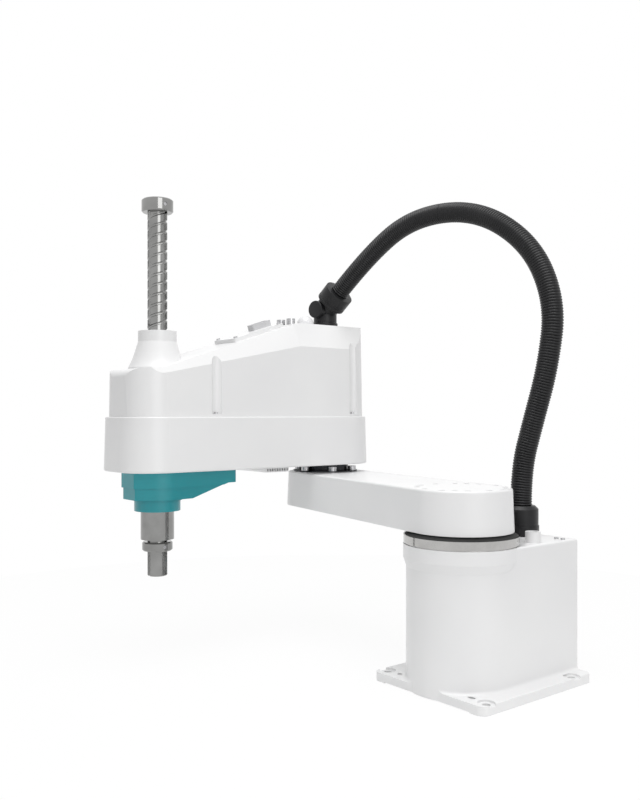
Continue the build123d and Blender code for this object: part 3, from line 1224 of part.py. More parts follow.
with BuildPart() as nut_bracket:
    with BuildSketch(quill_plane.offset(BRACKET_TOP)):
        Rectangle(BRACKET_LENGTH, 2 * NUT_BRACKET_HALF_WIDTH)
        Circle(BEARING_RADIUS + SEAT_GAP, mode=Mode.SUBTRACT)
    extrude(amount=-BEARING_HEIGHT)
    with BuildSketch(quill_plane.offset(BRACKET_TOP - BEARING_HEIGHT)):
        with GridLocations(BRACKET_LENGTH - 2 * POST_INSET, 2 * (NUT_BRACKET_HALF_WIDTH - POST_INSET), 2, 2):
            Circle(BRACKET_POST_RADIUS)
    extrude(amount=ARM_2_FLOOR_TOP + BEARING_HEIGHT - BRACKET_TOP)
nut_bracket.part.label = "nut_bracket"
export_step(nut_bracket.part, "parts/nut_bracket.step")


def drive_pulley(plane, pulley_bottom, flange_z, motor_length):
    """A motor pulley with the motor's shaft running up from it."""
    with BuildPart() as pulley:
        with BuildSketch(plane.offset(pulley_bottom)):
            Circle(MOTOR_PULLEY_RADIUS)
        extrude(amount=PULLEY_HEIGHT)
        with BuildSketch(plane.offset(pulley_bottom)):
            Circle(MOTOR_SHAFT_RADIUS)
        extrude(amount=flange_z + MOTOR_BORE_SHARE * motor_length - SWEEP_GAP - pulley_bottom)
    return pulley


def belt(pulley_bottom, motor_x):
    """A closed belt around a motor pulley and the pulley on the quill."""
    level = pulley_bottom + (PULLEY_HEIGHT - BELT_WIDTH) / 2
    with BuildPart() as loop:
        for grow, mode in ((SWEEP_GAP + BELT_THICKNESS, Mode.ADD), (SWEEP_GAP, Mode.SUBTRACT)):
            with BuildSketch(upper_plane.offset(level)):
                with Locations((motor_x, 0)):
                    Circle(MOTOR_PULLEY_RADIUS + grow)
                with Locations((UPPER_ARM_LENGTH, 0)):
                    Circle(QUILL_PULLEY_RADIUS + grow)
                make_hull()
            extrude(amount=BELT_WIDTH, mode=mode)
    return loop


J3_FLANGE_Z = J3_PULLEY_Z + PULLEY_HEIGHT + BRACKET_DROP + BRACKET_PLATE
J4_FLANGE_Z = J4_PULLEY_Z + PULLEY_HEIGHT + BRACKET_DROP + BRACKET_PLATE
QUILL_DRIVES = (("j3", J3_MOTOR_X, J3_PULLEY_Z, J3_FLANGE_Z), ("j4", J4_MOTOR_X, J4_PULLEY_Z, J4_FLANGE_Z))
for joint, motor_x, pulley_z, flange_z in QUILL_DRIVES:
    drive_plane = Plane(origin=(J2_X + motor_x, J2_Y, 0))
    drive_motor = motor(
        drive_plane,
        flange_z,
        flange_z + QUILL_MOTOR_LENGTH,
        QUILL_MOTOR_SIZE,
        QUILL_ENCODER_SIZE,
        flange_z + QUILL_MOTOR_LENGTH + ENCODER_HEIGHT,
    )
    drive_motor.part.label = joint + "_motor"
    export_step(drive_motor.part, "parts/" + joint + "_motor.step")
    motor_pulley = drive_pulley(drive_plane, pulley_z, flange_z, QUILL_MOTOR_LENGTH)
    motor_pulley.part.label = joint + "_motor_pulley"
    export_step(motor_pulley.part, "parts/" + joint + "_motor_pulley.step")
    drive_belt = belt(pulley_z, motor_x)
    drive_belt.part.label = joint + "_belt"
    export_step(drive_belt.part, "parts/" + joint + "_belt.step")

with BuildPart() as motor_brackets:
    for joint, motor_x, pulley_z, flange_z in QUILL_DRIVES:
        with BuildSketch(upper_plane.offset(flange_z)):
            with Locations((motor_x, 0)):
                Rectangle(BRACKET_LENGTH, 2 * BRACKET_HALF_WIDTH)
                Circle(MOTOR_PULLEY_RADIUS, mode=Mode.SUBTRACT)
        extrude(amount=-BRACKET_PLATE)
        with BuildSketch(upper_plane.offset(flange_z - BRACKET_PLATE)):
            with Locations((motor_x, 0)):
                with GridLocations(BRACKET_LENGTH - 2 * POST_INSET, 2 * (BRACKET_HALF_WIDTH - POST_INSET), 2, 2):
                    Circle(BRACKET_POST_RADIUS)
        extrude(amount=ARM_2_FLOOR_TOP + BRACKET_PLATE - flange_z)
motor_brackets.part.label = "motor_brackets"
export_step(motor_brackets.part, "parts/motor_brackets.step")

# Control board, upright on the floor between the second and fourth motors
with BuildPart() as control_board:
    with BuildSketch(upper_plane.offset(ARM_2_FLOOR_TOP)):
        with Locations((BOARD_X, 0)):
            Rectangle(BOARD_THICKNESS, BOARD_WIDTH)
    extrude(amount=BOARD_HEIGHT)
    with BuildSketch(upper_plane.offset(ARM_2_FLOOR_TOP)):
        with Locations((BOARD_X, 0)):
            with GridLocations(1, BOARD_WIDTH - BOARD_FOOT, 1, 2):
                Rectangle(BOARD_FOOT, BOARD_FOOT)
    extrude(amount=BOARD_THICKNESS)
control_board.part.label = "control_board"
export_step(control_board.part, "parts/control_board.step")

# Quill shaft with its two clamp collars
screw_plane_top = Plane(
    origin=(QUILL_X, QUILL_Y, SHAFT_TOP - TOP_COLLAR_HEIGHT / 2),
    z_dir=(math.cos(math.radians(SET_SCREW_ANGLE)), math.sin(math.radians(SET_SCREW_ANGLE)), 0),
)
screw_plane_stop = Plane(
    origin=(QUILL_X, QUILL_Y, STOP_COLLAR_BOTTOM + STOP_COLLAR_HEIGHT / 2),
    z_dir=screw_plane_top.z_dir,
)
with BuildPart() as quill_shaft:
    add(ring(quill_plane, SHAFT_BOTTOM, SHAFT_TOP, SHAFT_RADIUS, SHAFT_BORE))
    add(
        ring(
            quill_plane,
            STOP_COLLAR_BOTTOM,
            STOP_COLLAR_BOTTOM + RELIEF_HEIGHT,
            SHAFT_RADIUS,
            SHAFT_RADIUS - RELIEF_DEPTH,
        ),
        mode=Mode.SUBTRACT,
    )
quill_shaft.part.label = "quill_shaft"
export_step(quill_shaft.part, "parts/quill_shaft.step")


def clamp_collar(bottom, height, radius, screw_plane):
    """A chamfered collar clamped on the shaft, with a radial hole for its set screw."""
    with BuildPart() as collar:
        with BuildSketch(quill_plane.offset(bottom)):
            Circle(radius)
        extrude(amount=height)
        chamfer(collar.edges().filter_by(GeomType.CIRCLE), COLLAR_CHAMFER)
        with BuildSketch(quill_plane.offset(bottom)):
            Circle(SHAFT_RADIUS + RUNNING_GAP)
        extrude(amount=height, mode=Mode.SUBTRACT)
        with BuildSketch(screw_plane):
            Circle(SET_SCREW_RADIUS + RUNNING_GAP)
        extrude(amount=radius, mode=Mode.SUBTRACT)
    return collar


top_collar = clamp_collar(SHAFT_TOP - TOP_COLLAR_HEIGHT, TOP_COLLAR_HEIGHT, TOP_COLLAR_RADIUS, screw_plane_top)
top_collar.part.label = "top_collar"
export_step(top_collar.part, "parts/top_collar.step")

stop_collar = clamp_collar(STOP_COLLAR_BOTTOM, STOP_COLLAR_HEIGHT, STOP_COLLAR_RADIUS, screw_plane_stop)
stop_collar.part.label = "stop_collar"
export_step(stop_collar.part, "parts/stop_collar.step")

with BuildPart() as collar_screws:
    for screw_plane, radius in ((screw_plane_top, TOP_COLLAR_RADIUS), (screw_plane_stop, STOP_COLLAR_RADIUS)):
        with BuildSketch(screw_plane.offset(SHAFT_RADIUS + RUNNING_GAP)):
            Circle(SET_SCREW_RADIUS)
        extrude(amount=radius - SHAFT_RADIUS - SET_SCREW_SINK)
collar_screws.part.label = "collar_screws"
export_step(collar_screws.part, "parts/collar_screws.step")


def hose_tube(points, radii):
    """A hose along straight runs joined by tangent arcs."""
    start = Vector(*points[0])
    with BuildPart() as tube:
        with BuildLine():
            FilletPolyline(*points, radius=radii)
        with BuildSketch(Plane(origin=start, z_dir=Vector(*points[1]) - start)):
            Circle(HOSE_RADIUS)
        sweep()
    return tube


# Cable hose, in two lengths that meet at the middle of its highest run
highest_run = HOSE_ROUTE.index(HOSE_SPLIT_AFTER)
middle = (Vector(*HOSE_ROUTE[highest_run]) + Vector(*HOSE_ROUTE[highest_run + 1])) / 2
hose_radii = []
for before, corner, after in zip(HOSE_ROUTE, HOSE_ROUTE[1:], HOSE_ROUTE[2:]):
    run_in = Vector(*corner) - Vector(*before)
    run_out = Vector(*after) - Vector(*corner)
    half_turn = math.radians(run_in.get_angle(run_out)) / 2
    hose_radii.append(ARC_SHARE * min(run_in.length, run_out.length) / math.tan(half_turn))
print("hose radii, mm:", [round(radius) for radius in hose_radii])

hose_lower = hose_tube([*HOSE_ROUTE[:highest_run + 1], tuple(middle)], hose_radii[:highest_run])
hose_lower.part.label = "hose_lower"
export_step(hose_lower.part, "parts/hose_lower.step")

hose_upper = hose_tube([tuple(middle), *HOSE_ROUTE[highest_run + 1:]], hose_radii[highest_run:])
hose_upper.part.label = "hose_upper"
export_step(hose_upper.part, "parts/hose_upper.step")
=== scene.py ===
"""A four-axis scara robot, dressed: ribbed cable hose, ball screw quill, white paint and teal spindle."""
import json
import math

import bmesh
import bpy
from mathutils import Matrix, Vector


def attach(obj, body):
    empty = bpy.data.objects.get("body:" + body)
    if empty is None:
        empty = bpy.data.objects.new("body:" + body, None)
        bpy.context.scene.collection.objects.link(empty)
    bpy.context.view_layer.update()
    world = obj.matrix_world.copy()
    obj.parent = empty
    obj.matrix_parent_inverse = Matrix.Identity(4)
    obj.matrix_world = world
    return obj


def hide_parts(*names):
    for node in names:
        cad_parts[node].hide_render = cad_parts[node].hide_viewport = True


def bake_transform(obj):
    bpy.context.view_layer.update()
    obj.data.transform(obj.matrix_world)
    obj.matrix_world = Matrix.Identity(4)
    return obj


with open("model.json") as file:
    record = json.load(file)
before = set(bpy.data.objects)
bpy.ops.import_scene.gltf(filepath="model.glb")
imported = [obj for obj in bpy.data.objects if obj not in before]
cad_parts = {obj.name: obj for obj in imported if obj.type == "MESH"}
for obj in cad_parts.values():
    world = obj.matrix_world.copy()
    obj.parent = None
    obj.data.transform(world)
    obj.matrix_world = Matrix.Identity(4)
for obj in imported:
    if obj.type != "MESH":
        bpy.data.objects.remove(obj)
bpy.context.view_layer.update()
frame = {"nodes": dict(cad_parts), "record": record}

# The photograph's camera, worked out from the lengths of the robot's arms
PHOTO_WIDTH = 640
PHOTO_HEIGHT = 800
FOCAL_PIXELS = 872.6
CENTRE_PIXEL = (318.5, 412.6)
SENSOR_WIDTH = 36.0
CAMERA_PLACE = (0.779, 0.6696, 0.3116)
CAMERA_TURN = 141.076
CAMERA_CLIP_START = 0.05


def make_camera():
    """A level camera with the photograph's frame, its shift taken from the fitted centre pixel."""
    data = bpy.data.cameras.new("photo_camera")
    data.sensor_fit = "HORIZONTAL"
    data.sensor_width = SENSOR_WIDTH
    data.lens = FOCAL_PIXELS * SENSOR_WIDTH / PHOTO_WIDTH
    data.shift_x = (PHOTO_WIDTH / 2 - CENTRE_PIXEL[0]) / PHOTO_WIDTH
    data.shift_y = (CENTRE_PIXEL[1] - PHOTO_HEIGHT / 2) / PHOTO_WIDTH
    data.clip_start = CAMERA_CLIP_START
    camera = bpy.data.objects.new("photo_camera", data)
    camera.location = CAMERA_PLACE
    camera.rotation_euler = (math.radians(90), 0, math.radians(CAMERA_TURN))
    bpy.context.scene.collection.objects.link(camera)
    bpy.context.scene.camera = camera


make_camera()


def finish_mesh(piece, angle=30):
    """Shades a finished piece smooth up to the given angle."""
    bpy.ops.object.select_all(action="DESELECT")
    piece.select_set(True)
    bpy.context.view_layer.objects.active = piece
    bpy.ops.object.shade_smooth_by_angle(angle=math.radians(angle))


# Hose: the route's points are the ones that the robot's own model uses, in metres
HOSE_DIAMETER = 0.026
HOSE_ROUTE = [
    (-0.078, 0.0, 0.1993),
    (-0.078, 0.0, 0.243),
    (-0.080, 0.016, 0.300),
    (-0.082, 0.036, 0.366),
    (-0.083, 0.046, 0.442),
    (-0.080, 0.012, 0.517),
    (-0.070, -0.066, 0.570),
    (-0.057, -0.165, 0.574),
    (-0.04639, -0.24142, 0.53206),
    (-0.03691, -0.29257, 0.48522),
]
HOSE_SPLIT = 7
HOSE_MIDDLE = tuple((a + b) / 2 for a, b in zip(HOSE_ROUTE[HOSE_SPLIT - 1], HOSE_ROUTE[HOSE_SPLIT]))
RIB_PITCH = 0.0032
RIB_DEPTH = 0.0011
HOSE_SIDES = 32
HOSE_LINE_STEPS = 40
HOSE_SMOOTH_ANGLE = 80
RINGS_PER_RIB = 4
RIB_SHOULDER = 0.25


def spline_points(name, route):
    """The points of a smooth curve along the route, read from its spline."""
    curve = bpy.data.curves.new(name, "CURVE")
    curve.dimensions = "3D"
    curve.resolution_u = HOSE_LINE_STEPS
    spline = curve.splines.new("NURBS")
    spline.points.add(len(route) - 1)
    for point, place in zip(spline.points, route):
        point.co = (*place, 1)
    spline.order_u = 3
    spline.use_endpoint_u = True
    holder = bpy.data.objects.new(name, curve)
    bpy.context.scene.collection.objects.link(holder)
    line = bpy.data.meshes.new_from_object(holder)
    points = [vertex.co.copy() for vertex in line.vertices]
    bpy.data.objects.remove(holder)
    bpy.data.meshes.remove(line)
    return points


def even_points(points, count):
    """As many points as asked, evenly spaced along a line of points."""
    reach = [0.0]
    for here, there in zip(points, points[1:]):
        reach.append(reach[-1] + (there - here).length)
    result = []
    index = 0
    for step in range(count + 1):
        want = reach[-1] * step / count
        while index < len(points) - 2 and reach[index + 1] < want:
            index += 1
        share = (want - reach[index]) / (reach[index + 1] - reach[index])
        result.append(points[index].lerp(points[index + 1], min(share, 1.0)))
    return result, reach[-1]


def ribbed_hose(name, route):
    """A corrugated tube along the route, with four rings of points to each rib."""
    line = spline_points(name + "_line", route)
    length = even_points(line, 1)[1]
    ribs = round(length / RIB_PITCH)
    path = even_points(line, ribs * RINGS_PER_RIB)[0]
    radius = HOSE_DIAMETER / 2
    shoulder = radius - RIB_SHOULDER * RIB_DEPTH
    rib_radii = (radius - RIB_DEPTH, shoulder, radius, shoulder)
    mesh = bpy.data.meshes.new(name)
    shape = bmesh.new()
    side = Vector((1, 0, 0))
    rings = []
    for index, centre in enumerate(path):
        ahead = path[min(index + 1, len(path) - 1)] - path[max(index - 1, 0)]
        ahead.normalize()
        side = (side - ahead * side.dot(ahead)).normalized()
        across = ahead.cross(side)
        rib_radius = rib_radii[index % RINGS_PER_RIB]
        rings.append([
            shape.verts.new(centre + rib_radius * (math.cos(turn) * side + math.sin(turn) * across))
            for turn in (2 * math.pi * step / HOSE_SIDES for step in range(HOSE_SIDES))
        ])
    for ring, after in zip(rings, rings[1:]):
        for step in range(HOSE_SIDES):
            following = (step + 1) % HOSE_SIDES
            shape.faces.new((ring[step], ring[following], after[following], after[step]))
    shape.faces.new(reversed(rings[0]))
    shape.faces.new(rings[-1])
    shape.to_mesh(mesh)
    shape.free()
    hose = bpy.data.objects.new(name, mesh)
    bpy.context.scene.collection.objects.link(hose)
    finish_mesh(hose, HOSE_SMOOTH_ANGLE)
    return hose, path, length


# Each length of the hose: its name, the node it stands for, its route and the two bodies it runs between
HOSE_LENGTHS = (
    ("cable_hose_lower", "hose_lower", [*HOSE_ROUTE[:HOSE_SPLIT], HOSE_MIDDLE], ("base", "lower_arm")),
    ("cable_hose_upper", "hose_upper", [HOSE_MIDDLE, *HOSE_ROUTE[HOSE_SPLIT:]], ("lower_arm", "upper_arm")),
)
hoses = []
for name, node, route, bodies in HOSE_LENGTHS:
    hose, path, length = ribbed_hose(name, route)
    hoses.append(hose)
    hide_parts(node)
    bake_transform(hose)


# Quill shaft: ball grooves wound round it in two starts, and straight spline grooves along it
QUILL_PLACE = (0.24299, -0.31903)
SHAFT_RADIUS = 0.0125
SHAFT_BORE = 0.007
SHAFT_BOTTOM = 0.1057
SHAFT_TOP = 0.581
SHAFT_CHAMFER = 0.001
GROOVE_LEAD = 0.025
GROOVE_STARTS = 2
GROOVE_DEPTH = 0.0011
GROOVE_SHARE = 0.26
GROOVE_START_HEIGHT = 0.205
SPLINE_GROOVES = 3
SPLINE_DEPTH = 0.0008
SPLINE_HALF_ANGLE = 7.0
SHAFT_COLUMNS = 96
SHAFT_ROW = 0.001
SHAFT_SMOOTH_ANGLE = 25


def shaft_radius(column, turn, height):
    """How far the shaft's surface stands from its axis at a column, a true angle and a height."""
    start_span = SHAFT_COLUMNS / GROOVE_STARTS
    across = abs((column % start_span) / start_span - 0.5) / (GROOVE_SHARE / 2)
    radius = SHAFT_RADIUS
    if height > GROOVE_START_HEIGHT and across < 1:
        radius -= GROOVE_DEPTH * math.sqrt(1 - across * across)
    step = 360 / SPLINE_GROOVES
    away = abs((math.degrees(turn) + step / 2) % step - step / 2)
    if away < SPLINE_HALF_ANGLE:
        radius = min(radius, SHAFT_RADIUS - SPLINE_DEPTH)
    return radius


def shaft_lap(shape, height, radius_at):
    """One ring of points round the shaft's axis, each at the radius that its column and turn give."""
    lap = []
    for column in range(SHAFT_COLUMNS):
        turn = 2 * math.pi * (column / SHAFT_COLUMNS + height / GROOVE_LEAD)
        radius = radius_at(column, turn)
        x = QUILL_PLACE[0] + radius * math.cos(turn)
        y = QUILL_PLACE[1] + radius * math.sin(turn)
        lap.append(shape.verts.new((x, y, height)))
    return lap


def make_quill_shaft():
    """The grooved shaft as one closed tube, its columns turned with the ball grooves."""
    rows = round((SHAFT_TOP - SHAFT_BOTTOM) / SHAFT_ROW)
    mesh = bpy.data.meshes.new("grooved_quill_shaft")
    shape = bmesh.new()
    rings = []
    for row in range(rows + 1):
        height = SHAFT_BOTTOM + (SHAFT_TOP - SHAFT_BOTTOM) * row / rows
        edge = SHAFT_CHAMFER if row in (0, rows) else 0
        rings.append(shaft_lap(shape, height, lambda column, turn: shaft_radius(column, turn, height) - edge))
    for height in (SHAFT_TOP, SHAFT_BOTTOM):
        rings.append(shaft_lap(shape, height, lambda column, turn: SHAFT_BORE))
    rings.append(rings[0])
    for lap, after in zip(rings, rings[1:]):
        for column in range(SHAFT_COLUMNS):
            following = (column + 1) % SHAFT_COLUMNS
            shape.faces.new((lap[column], lap[following], after[following], after[column]))
    bmesh.ops.recalc_face_normals(shape, faces=shape.faces[:])
    shape.to_mesh(mesh)
    shape.free()
    shaft = bpy.data.objects.new("grooved_quill_shaft", mesh)
    bpy.context.scene.collection.objects.link(shaft)
    finish_mesh(shaft, SHAFT_SMOOTH_ANGLE)
    return shaft


# Elbow of the hose over the second axis: a collar, a round body with its clamp, and the hose's nut
SECOND_AXIS = (-0.03201, -0.31903)
ELBOW_FOOT = Vector((*SECOND_AXIS, 0.4353))
ELBOW_CENTRE = Vector((*SECOND_AXIS, 0.461))
ELBOW_END = Vector(HOSE_ROUTE[-1])
ELBOW_AHEAD = (ELBOW_END - ELBOW_CENTRE).normalized()
ELBOW_SIDE = Vector((ELBOW_AHEAD.y, -ELBOW_AHEAD.x, 0)).normalized()
NUT_LENGTH = 0.022
NUT_RADIUS = 0.0218
NUT_ROUNDING = 0.0012
ELBOW_RADIUS = 0.0168
COLLAR_RADIUS = 0.0182
COLLAR_HEIGHT = 0.007
CLAMP_RADIUS = 0.0125
CLAMP_LENGTH = 0.0235
NECK_ROUNDING = 0.0008
RIM_STEP = 0.0008
RIM_WIDTH = 0.0016
RIM_INSET = 0.0048
STEEPEST_SIDE = 0.5
ROUND_SIDES = 64
ROUNDING_STEPS = 3
ROUNDING_ANGLE = 40
TURNED_SMOOTH_ANGLE = 35
BALL_SEGMENTS = 48
BALL_RINGS = 24
BALL_SMOOTH_ANGLE = 40


def sink_rim(piece, length):
    """A narrow groove round a cylinder near its far end."""
    top = length / 2 - RIM_INSET
    bottom = top - RIM_WIDTH
    bpy.ops.object.mode_set(mode="EDIT")
    for height in (top, bottom):
        bpy.ops.mesh.select_all(action="SELECT")
        bpy.ops.mesh.bisect(plane_co=(0, 0, height), plane_no=(0, 0, 1))
    bpy.ops.mesh.select_all(action="DESELECT")
    bpy.ops.object.mode_set(mode="OBJECT")
    for face in piece.data.polygons:
        face.select = bottom < face.center.z < top and abs(face.normal.z) < STEEPEST_SIDE
    bpy.ops.object.mode_set(mode="EDIT")
    bpy.ops.mesh.select_mode(type="FACE")
    bpy.ops.mesh.extrude_region_shrink_fatten(TRANSFORM_OT_shrink_fatten={"value": -RIM_STEP})
    bpy.ops.object.mode_set(mode="OBJECT")


def turned_piece(name, start, ahead, length, radius, rounding, rim=True):
    """A turned piece along a direction: a cylinder with rounded edges and, where asked, a sunk rim line."""
    bpy.ops.object.select_all(action="DESELECT")
    bpy.ops.mesh.primitive_cylinder_add(vertices=ROUND_SIDES, radius=radius, depth=length, location=(0, 0, 0))
    piece = bpy.context.object
    piece.name = name
    piece.data.name = name
    if rim:
        sink_rim(piece, length)
    soften = piece.modifiers.new("soften", "BEVEL")
    soften.width = rounding
    soften.segments = ROUNDING_STEPS
    soften.limit_method = "ANGLE"
    soften.angle_limit = math.radians(ROUNDING_ANGLE)
    bpy.ops.object.modifier_apply(modifier="soften")
    lean = ahead.to_track_quat("Z", "Y").to_matrix().to_4x4()
    piece.data.transform(Matrix.Translation(start + ahead * (length / 2)) @ lean)
    finish_mesh(piece, TURNED_SMOOTH_ANGLE)
    return piece


def join_pieces(name, parts):
    """Several pieces as one object with one mesh."""
    bpy.ops.object.select_all(action="DESELECT")
    for part in parts:
        part.select_set(True)
    bpy.context.view_layer.objects.active = parts[0]
    bpy.ops.object.join()
    piece = bpy.context.object
    piece.name = name
    piece.data.name = name
    return piece


def make_elbow():
    """The elbow's collar, neck, stub, clamp and round body."""
    up = Vector((0, 0, 1))
    neck_length = ELBOW_CENTRE.z - ELBOW_FOOT.z
    stub_length = (ELBOW_END - ELBOW_CENTRE).length - NUT_LENGTH
    parts = [
        turned_piece(name, start, ahead, length, radius, rounding, rim)
        for name, start, ahead, length, radius, rounding, rim in (
            ("elbow_collar", ELBOW_FOOT, up, COLLAR_HEIGHT, COLLAR_RADIUS, NUT_ROUNDING, False),
            ("elbow_neck", ELBOW_FOOT, up, neck_length, ELBOW_RADIUS, NECK_ROUNDING, True),
            ("elbow_stub", ELBOW_CENTRE, ELBOW_AHEAD, stub_length, ELBOW_RADIUS, NECK_ROUNDING, False),
            ("elbow_clamp", ELBOW_CENTRE, ELBOW_SIDE, CLAMP_LENGTH, CLAMP_RADIUS, NUT_ROUNDING, False),
        )
    ]
    bpy.ops.object.select_all(action="DESELECT")
    bpy.ops.mesh.primitive_uv_sphere_add(
        segments=BALL_SEGMENTS, ring_count=BALL_RINGS, radius=ELBOW_RADIUS, location=(0, 0, 0)
    )
    ball = bpy.context.object
    ball.data.transform(Matrix.Translation(ELBOW_CENTRE))
    finish_mesh(ball, BALL_SMOOTH_ANGLE)
    return join_pieces("hose_elbow", [*parts, ball])


hose_elbow = make_elbow()
hose_nut = turned_piece("hose_nut", ELBOW_END, -ELBOW_AHEAD, NUT_LENGTH, NUT_RADIUS, NUT_ROUNDING)
for fitting, node in ((hose_elbow, "elbow"), (hose_nut, "elbow_nut")):
    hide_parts(node)
    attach(fitting, "upper_arm")

quill_shaft = make_quill_shaft()
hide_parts("quill_shaft")
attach(quill_shaft, "quill")


# Materials: noise scales are in waves a metre, and heights are in metres
def new_material(name):
    """An empty material with a shader, its tree and the place coordinates."""
    material = bpy.data.materials.new(name)
    material.use_nodes = True
    tree = material.node_tree
    shader = tree.nodes["Principled BSDF"]
    place = tree.nodes.new("ShaderNodeTexCoord")
    return material, tree, shader, place.outputs["Object"]


def noise(tree, place, scale, detail=3.0, stretch=(1, 1, 1)):
    """A noise pattern on the piece's own coordinates, stretched where asked."""
    mapping = tree.nodes.new("ShaderNodeMapping")
    mapping.inputs["Scale"].default_value = stretch
    tree.links.new(place, mapping.inputs["Vector"])
    texture = tree.nodes.new("ShaderNodeTexNoise")
    texture.inputs["Scale"].default_value = scale
    texture.inputs["Detail"].default_value = detail
    tree.links.new(mapping.outputs["Vector"], texture.inputs["Vector"])
    return texture.outputs["Fac"]


PATTERN_LOW = 0.3
PATTERN_HIGH = 0.7


def spread(tree, pattern, low, high):
    """A pattern's values spread between two numbers."""
    node = tree.nodes.new("ShaderNodeMapRange")
    node.inputs["From Min"].default_value = PATTERN_LOW
    node.inputs["From Max"].default_value = PATTERN_HIGH
    node.inputs["To Min"].default_value = low
    node.inputs["To Max"].default_value = high
    tree.links.new(pattern, node.inputs["Value"])
    return node.outputs["Result"]


def tint(tree, pattern, dark, light):
    """A colour that wanders between two close shades with a pattern."""
    ramp = tree.nodes.new("ShaderNodeValToRGB")
    ramp.color_ramp.elements[0].position = PATTERN_LOW
    ramp.color_ramp.elements[0].color = (*dark, 1)
    ramp.color_ramp.elements[1].position = PATTERN_HIGH
    ramp.color_ramp.elements[1].color = (*light, 1)
    tree.links.new(pattern, ramp.inputs["Fac"])
    return ramp.outputs["Color"]


def bump(tree, shader, pattern, strength, distance):
    """Raises the surface with a pattern."""
    node = tree.nodes.new("ShaderNodeBump")
    node.inputs["Strength"].default_value = strength
    node.inputs["Distance"].default_value = distance
    tree.links.new(pattern, node.inputs["Height"])
    tree.links.new(node.outputs["Normal"], shader.inputs["Normal"])


PAINT_CLOUDS = 9.0
PAINT_GLOSS_PATCHES = 60.0
PAINT_GLOSS_RANGE = 0.04
PAINT_PEEL = 900.0
PAINT_PEEL_HEIGHT = 0.0002
CLEAR_COAT = 0.15
CLEAR_COAT_ROUGHNESS = 0.2
FINE_DETAIL = 2.0


def painted(name, dark, light, roughness, peel):
    """Sprayed paint with a faint orange peel."""
    material, tree, shader, place = new_material(name)
    colour = tint(tree, noise(tree, place, PAINT_CLOUDS), dark, light)
    patches = noise(tree, place, PAINT_GLOSS_PATCHES)
    gloss = spread(tree, patches, roughness - PAINT_GLOSS_RANGE, roughness + PAINT_GLOSS_RANGE)
    tree.links.new(colour, shader.inputs["Base Color"])
    tree.links.new(gloss, shader.inputs["Roughness"])
    bump(tree, shader, noise(tree, place, PAINT_PEEL, FINE_DETAIL), peel, PAINT_PEEL_HEIGHT)
    shader.inputs["Coat Weight"].default_value = CLEAR_COAT
    shader.inputs["Coat Roughness"].default_value = CLEAR_COAT_ROUGHNESS
    return material


MOULDED_SHINE = 0.3
MOULDED_CLOUDS = 30.0
MOULDED_GLOSS_PATCHES = 200.0
MOULDED_GLOSS_RANGE = 0.05
MOULDED_GRAIN = 2500.0
MOULDED_GRAIN_HEIGHT = 0.0001


def moulded(name, dark, light, roughness, grain):
    """Moulded plastic with a fine grain."""
    material, tree, shader, place = new_material(name)
    colour = tint(tree, noise(tree, place, MOULDED_CLOUDS), dark, light)
    patches = noise(tree, place, MOULDED_GLOSS_PATCHES)
    gloss = spread(tree, patches, roughness - MOULDED_GLOSS_RANGE, roughness + MOULDED_GLOSS_RANGE)
    tree.links.new(colour, shader.inputs["Base Color"])
    tree.links.new(gloss, shader.inputs["Roughness"])
    shader.inputs["Specular IOR Level"].default_value = MOULDED_SHINE
    bump(tree, shader, noise(tree, place, MOULDED_GRAIN, FINE_DETAIL), grain, MOULDED_GRAIN_HEIGHT)
    return material


METAL_CLOUDS = 40.0
METAL_GLOSS_RANGE = 0.05
METAL_RINGS = 1500.0
METAL_RING_STRETCH = (0.02, 0.02, 1)
METAL_RING_HEIGHT = 0.00005


def turned_metal(name, dark, light, roughness, lines):
    """Turned or ground metal with fine rings around an upright axis."""
    material, tree, shader, place = new_material(name)
    rings = noise(tree, place, METAL_RINGS, FINE_DETAIL, stretch=METAL_RING_STRETCH)
    colour = tint(tree, noise(tree, place, METAL_CLOUDS), dark, light)
    gloss = spread(tree, rings, roughness - METAL_GLOSS_RANGE, roughness + METAL_GLOSS_RANGE)
    tree.links.new(colour, shader.inputs["Base Color"])
    tree.links.new(gloss, shader.inputs["Roughness"])
    shader.inputs["Metallic"].default_value = 1.0
    bump(tree, shader, rings, lines, METAL_RING_HEIGHT)
    return material


white_paint = painted("white_paint", (0.77, 0.77, 0.775), (0.80, 0.80, 0.80), 0.34, 0.06)
teal_paint = painted("teal_paint", (0.008, 0.26, 0.30), (0.011, 0.30, 0.34), 0.32, 0.06)
polished_steel = turned_metal("polished_steel", (0.42, 0.415, 0.405), (0.50, 0.495, 0.485), 0.12, 0.05)
# Quill steel: its own ground steel tone, darkened further as painted shade that stands in for the dark
# surroundings the shaft reflects
quill_steel_painted_dark = turned_metal("quill_steel_painted_dark", (0.24, 0.24, 0.235), (0.31, 0.31, 0.305), 0.10, 0.05)
screw_steel = turned_metal("screw_steel", (0.42, 0.42, 0.43), (0.52, 0.52, 0.53), 0.30, 0.10)
dark_steel = turned_metal("dark_steel", (0.035, 0.036, 0.040), (0.055, 0.056, 0.060), 0.40, 0.10)
bracket_aluminium = turned_metal("bracket_aluminium", (0.55, 0.55, 0.56), (0.62, 0.62, 0.63), 0.38, 0.10)
black_plastic = moulded("black_plastic", (0.007, 0.007, 0.008), (0.012, 0.012, 0.013), 0.38, 0.15)
grey_plastic = moulded("grey_plastic", (0.55, 0.55, 0.56), (0.62, 0.62, 0.63), 0.45, 0.15)
hose_plastic = moulded("hose_plastic", (0.005, 0.005, 0.006), (0.010, 0.010, 0.011), 0.36, 0.1)
seal_rubber = moulded("seal_rubber", (0.010, 0.010, 0.010), (0.018, 0.018, 0.018), 0.7, 0.3)
clear_plastic = moulded("clear_plastic", (0.72, 0.72, 0.73), (0.78, 0.78, 0.79), 0.12, 0.02)
motor_black = painted("motor_black", (0.015, 0.015, 0.016), (0.025, 0.025, 0.026), 0.45, 0.1)
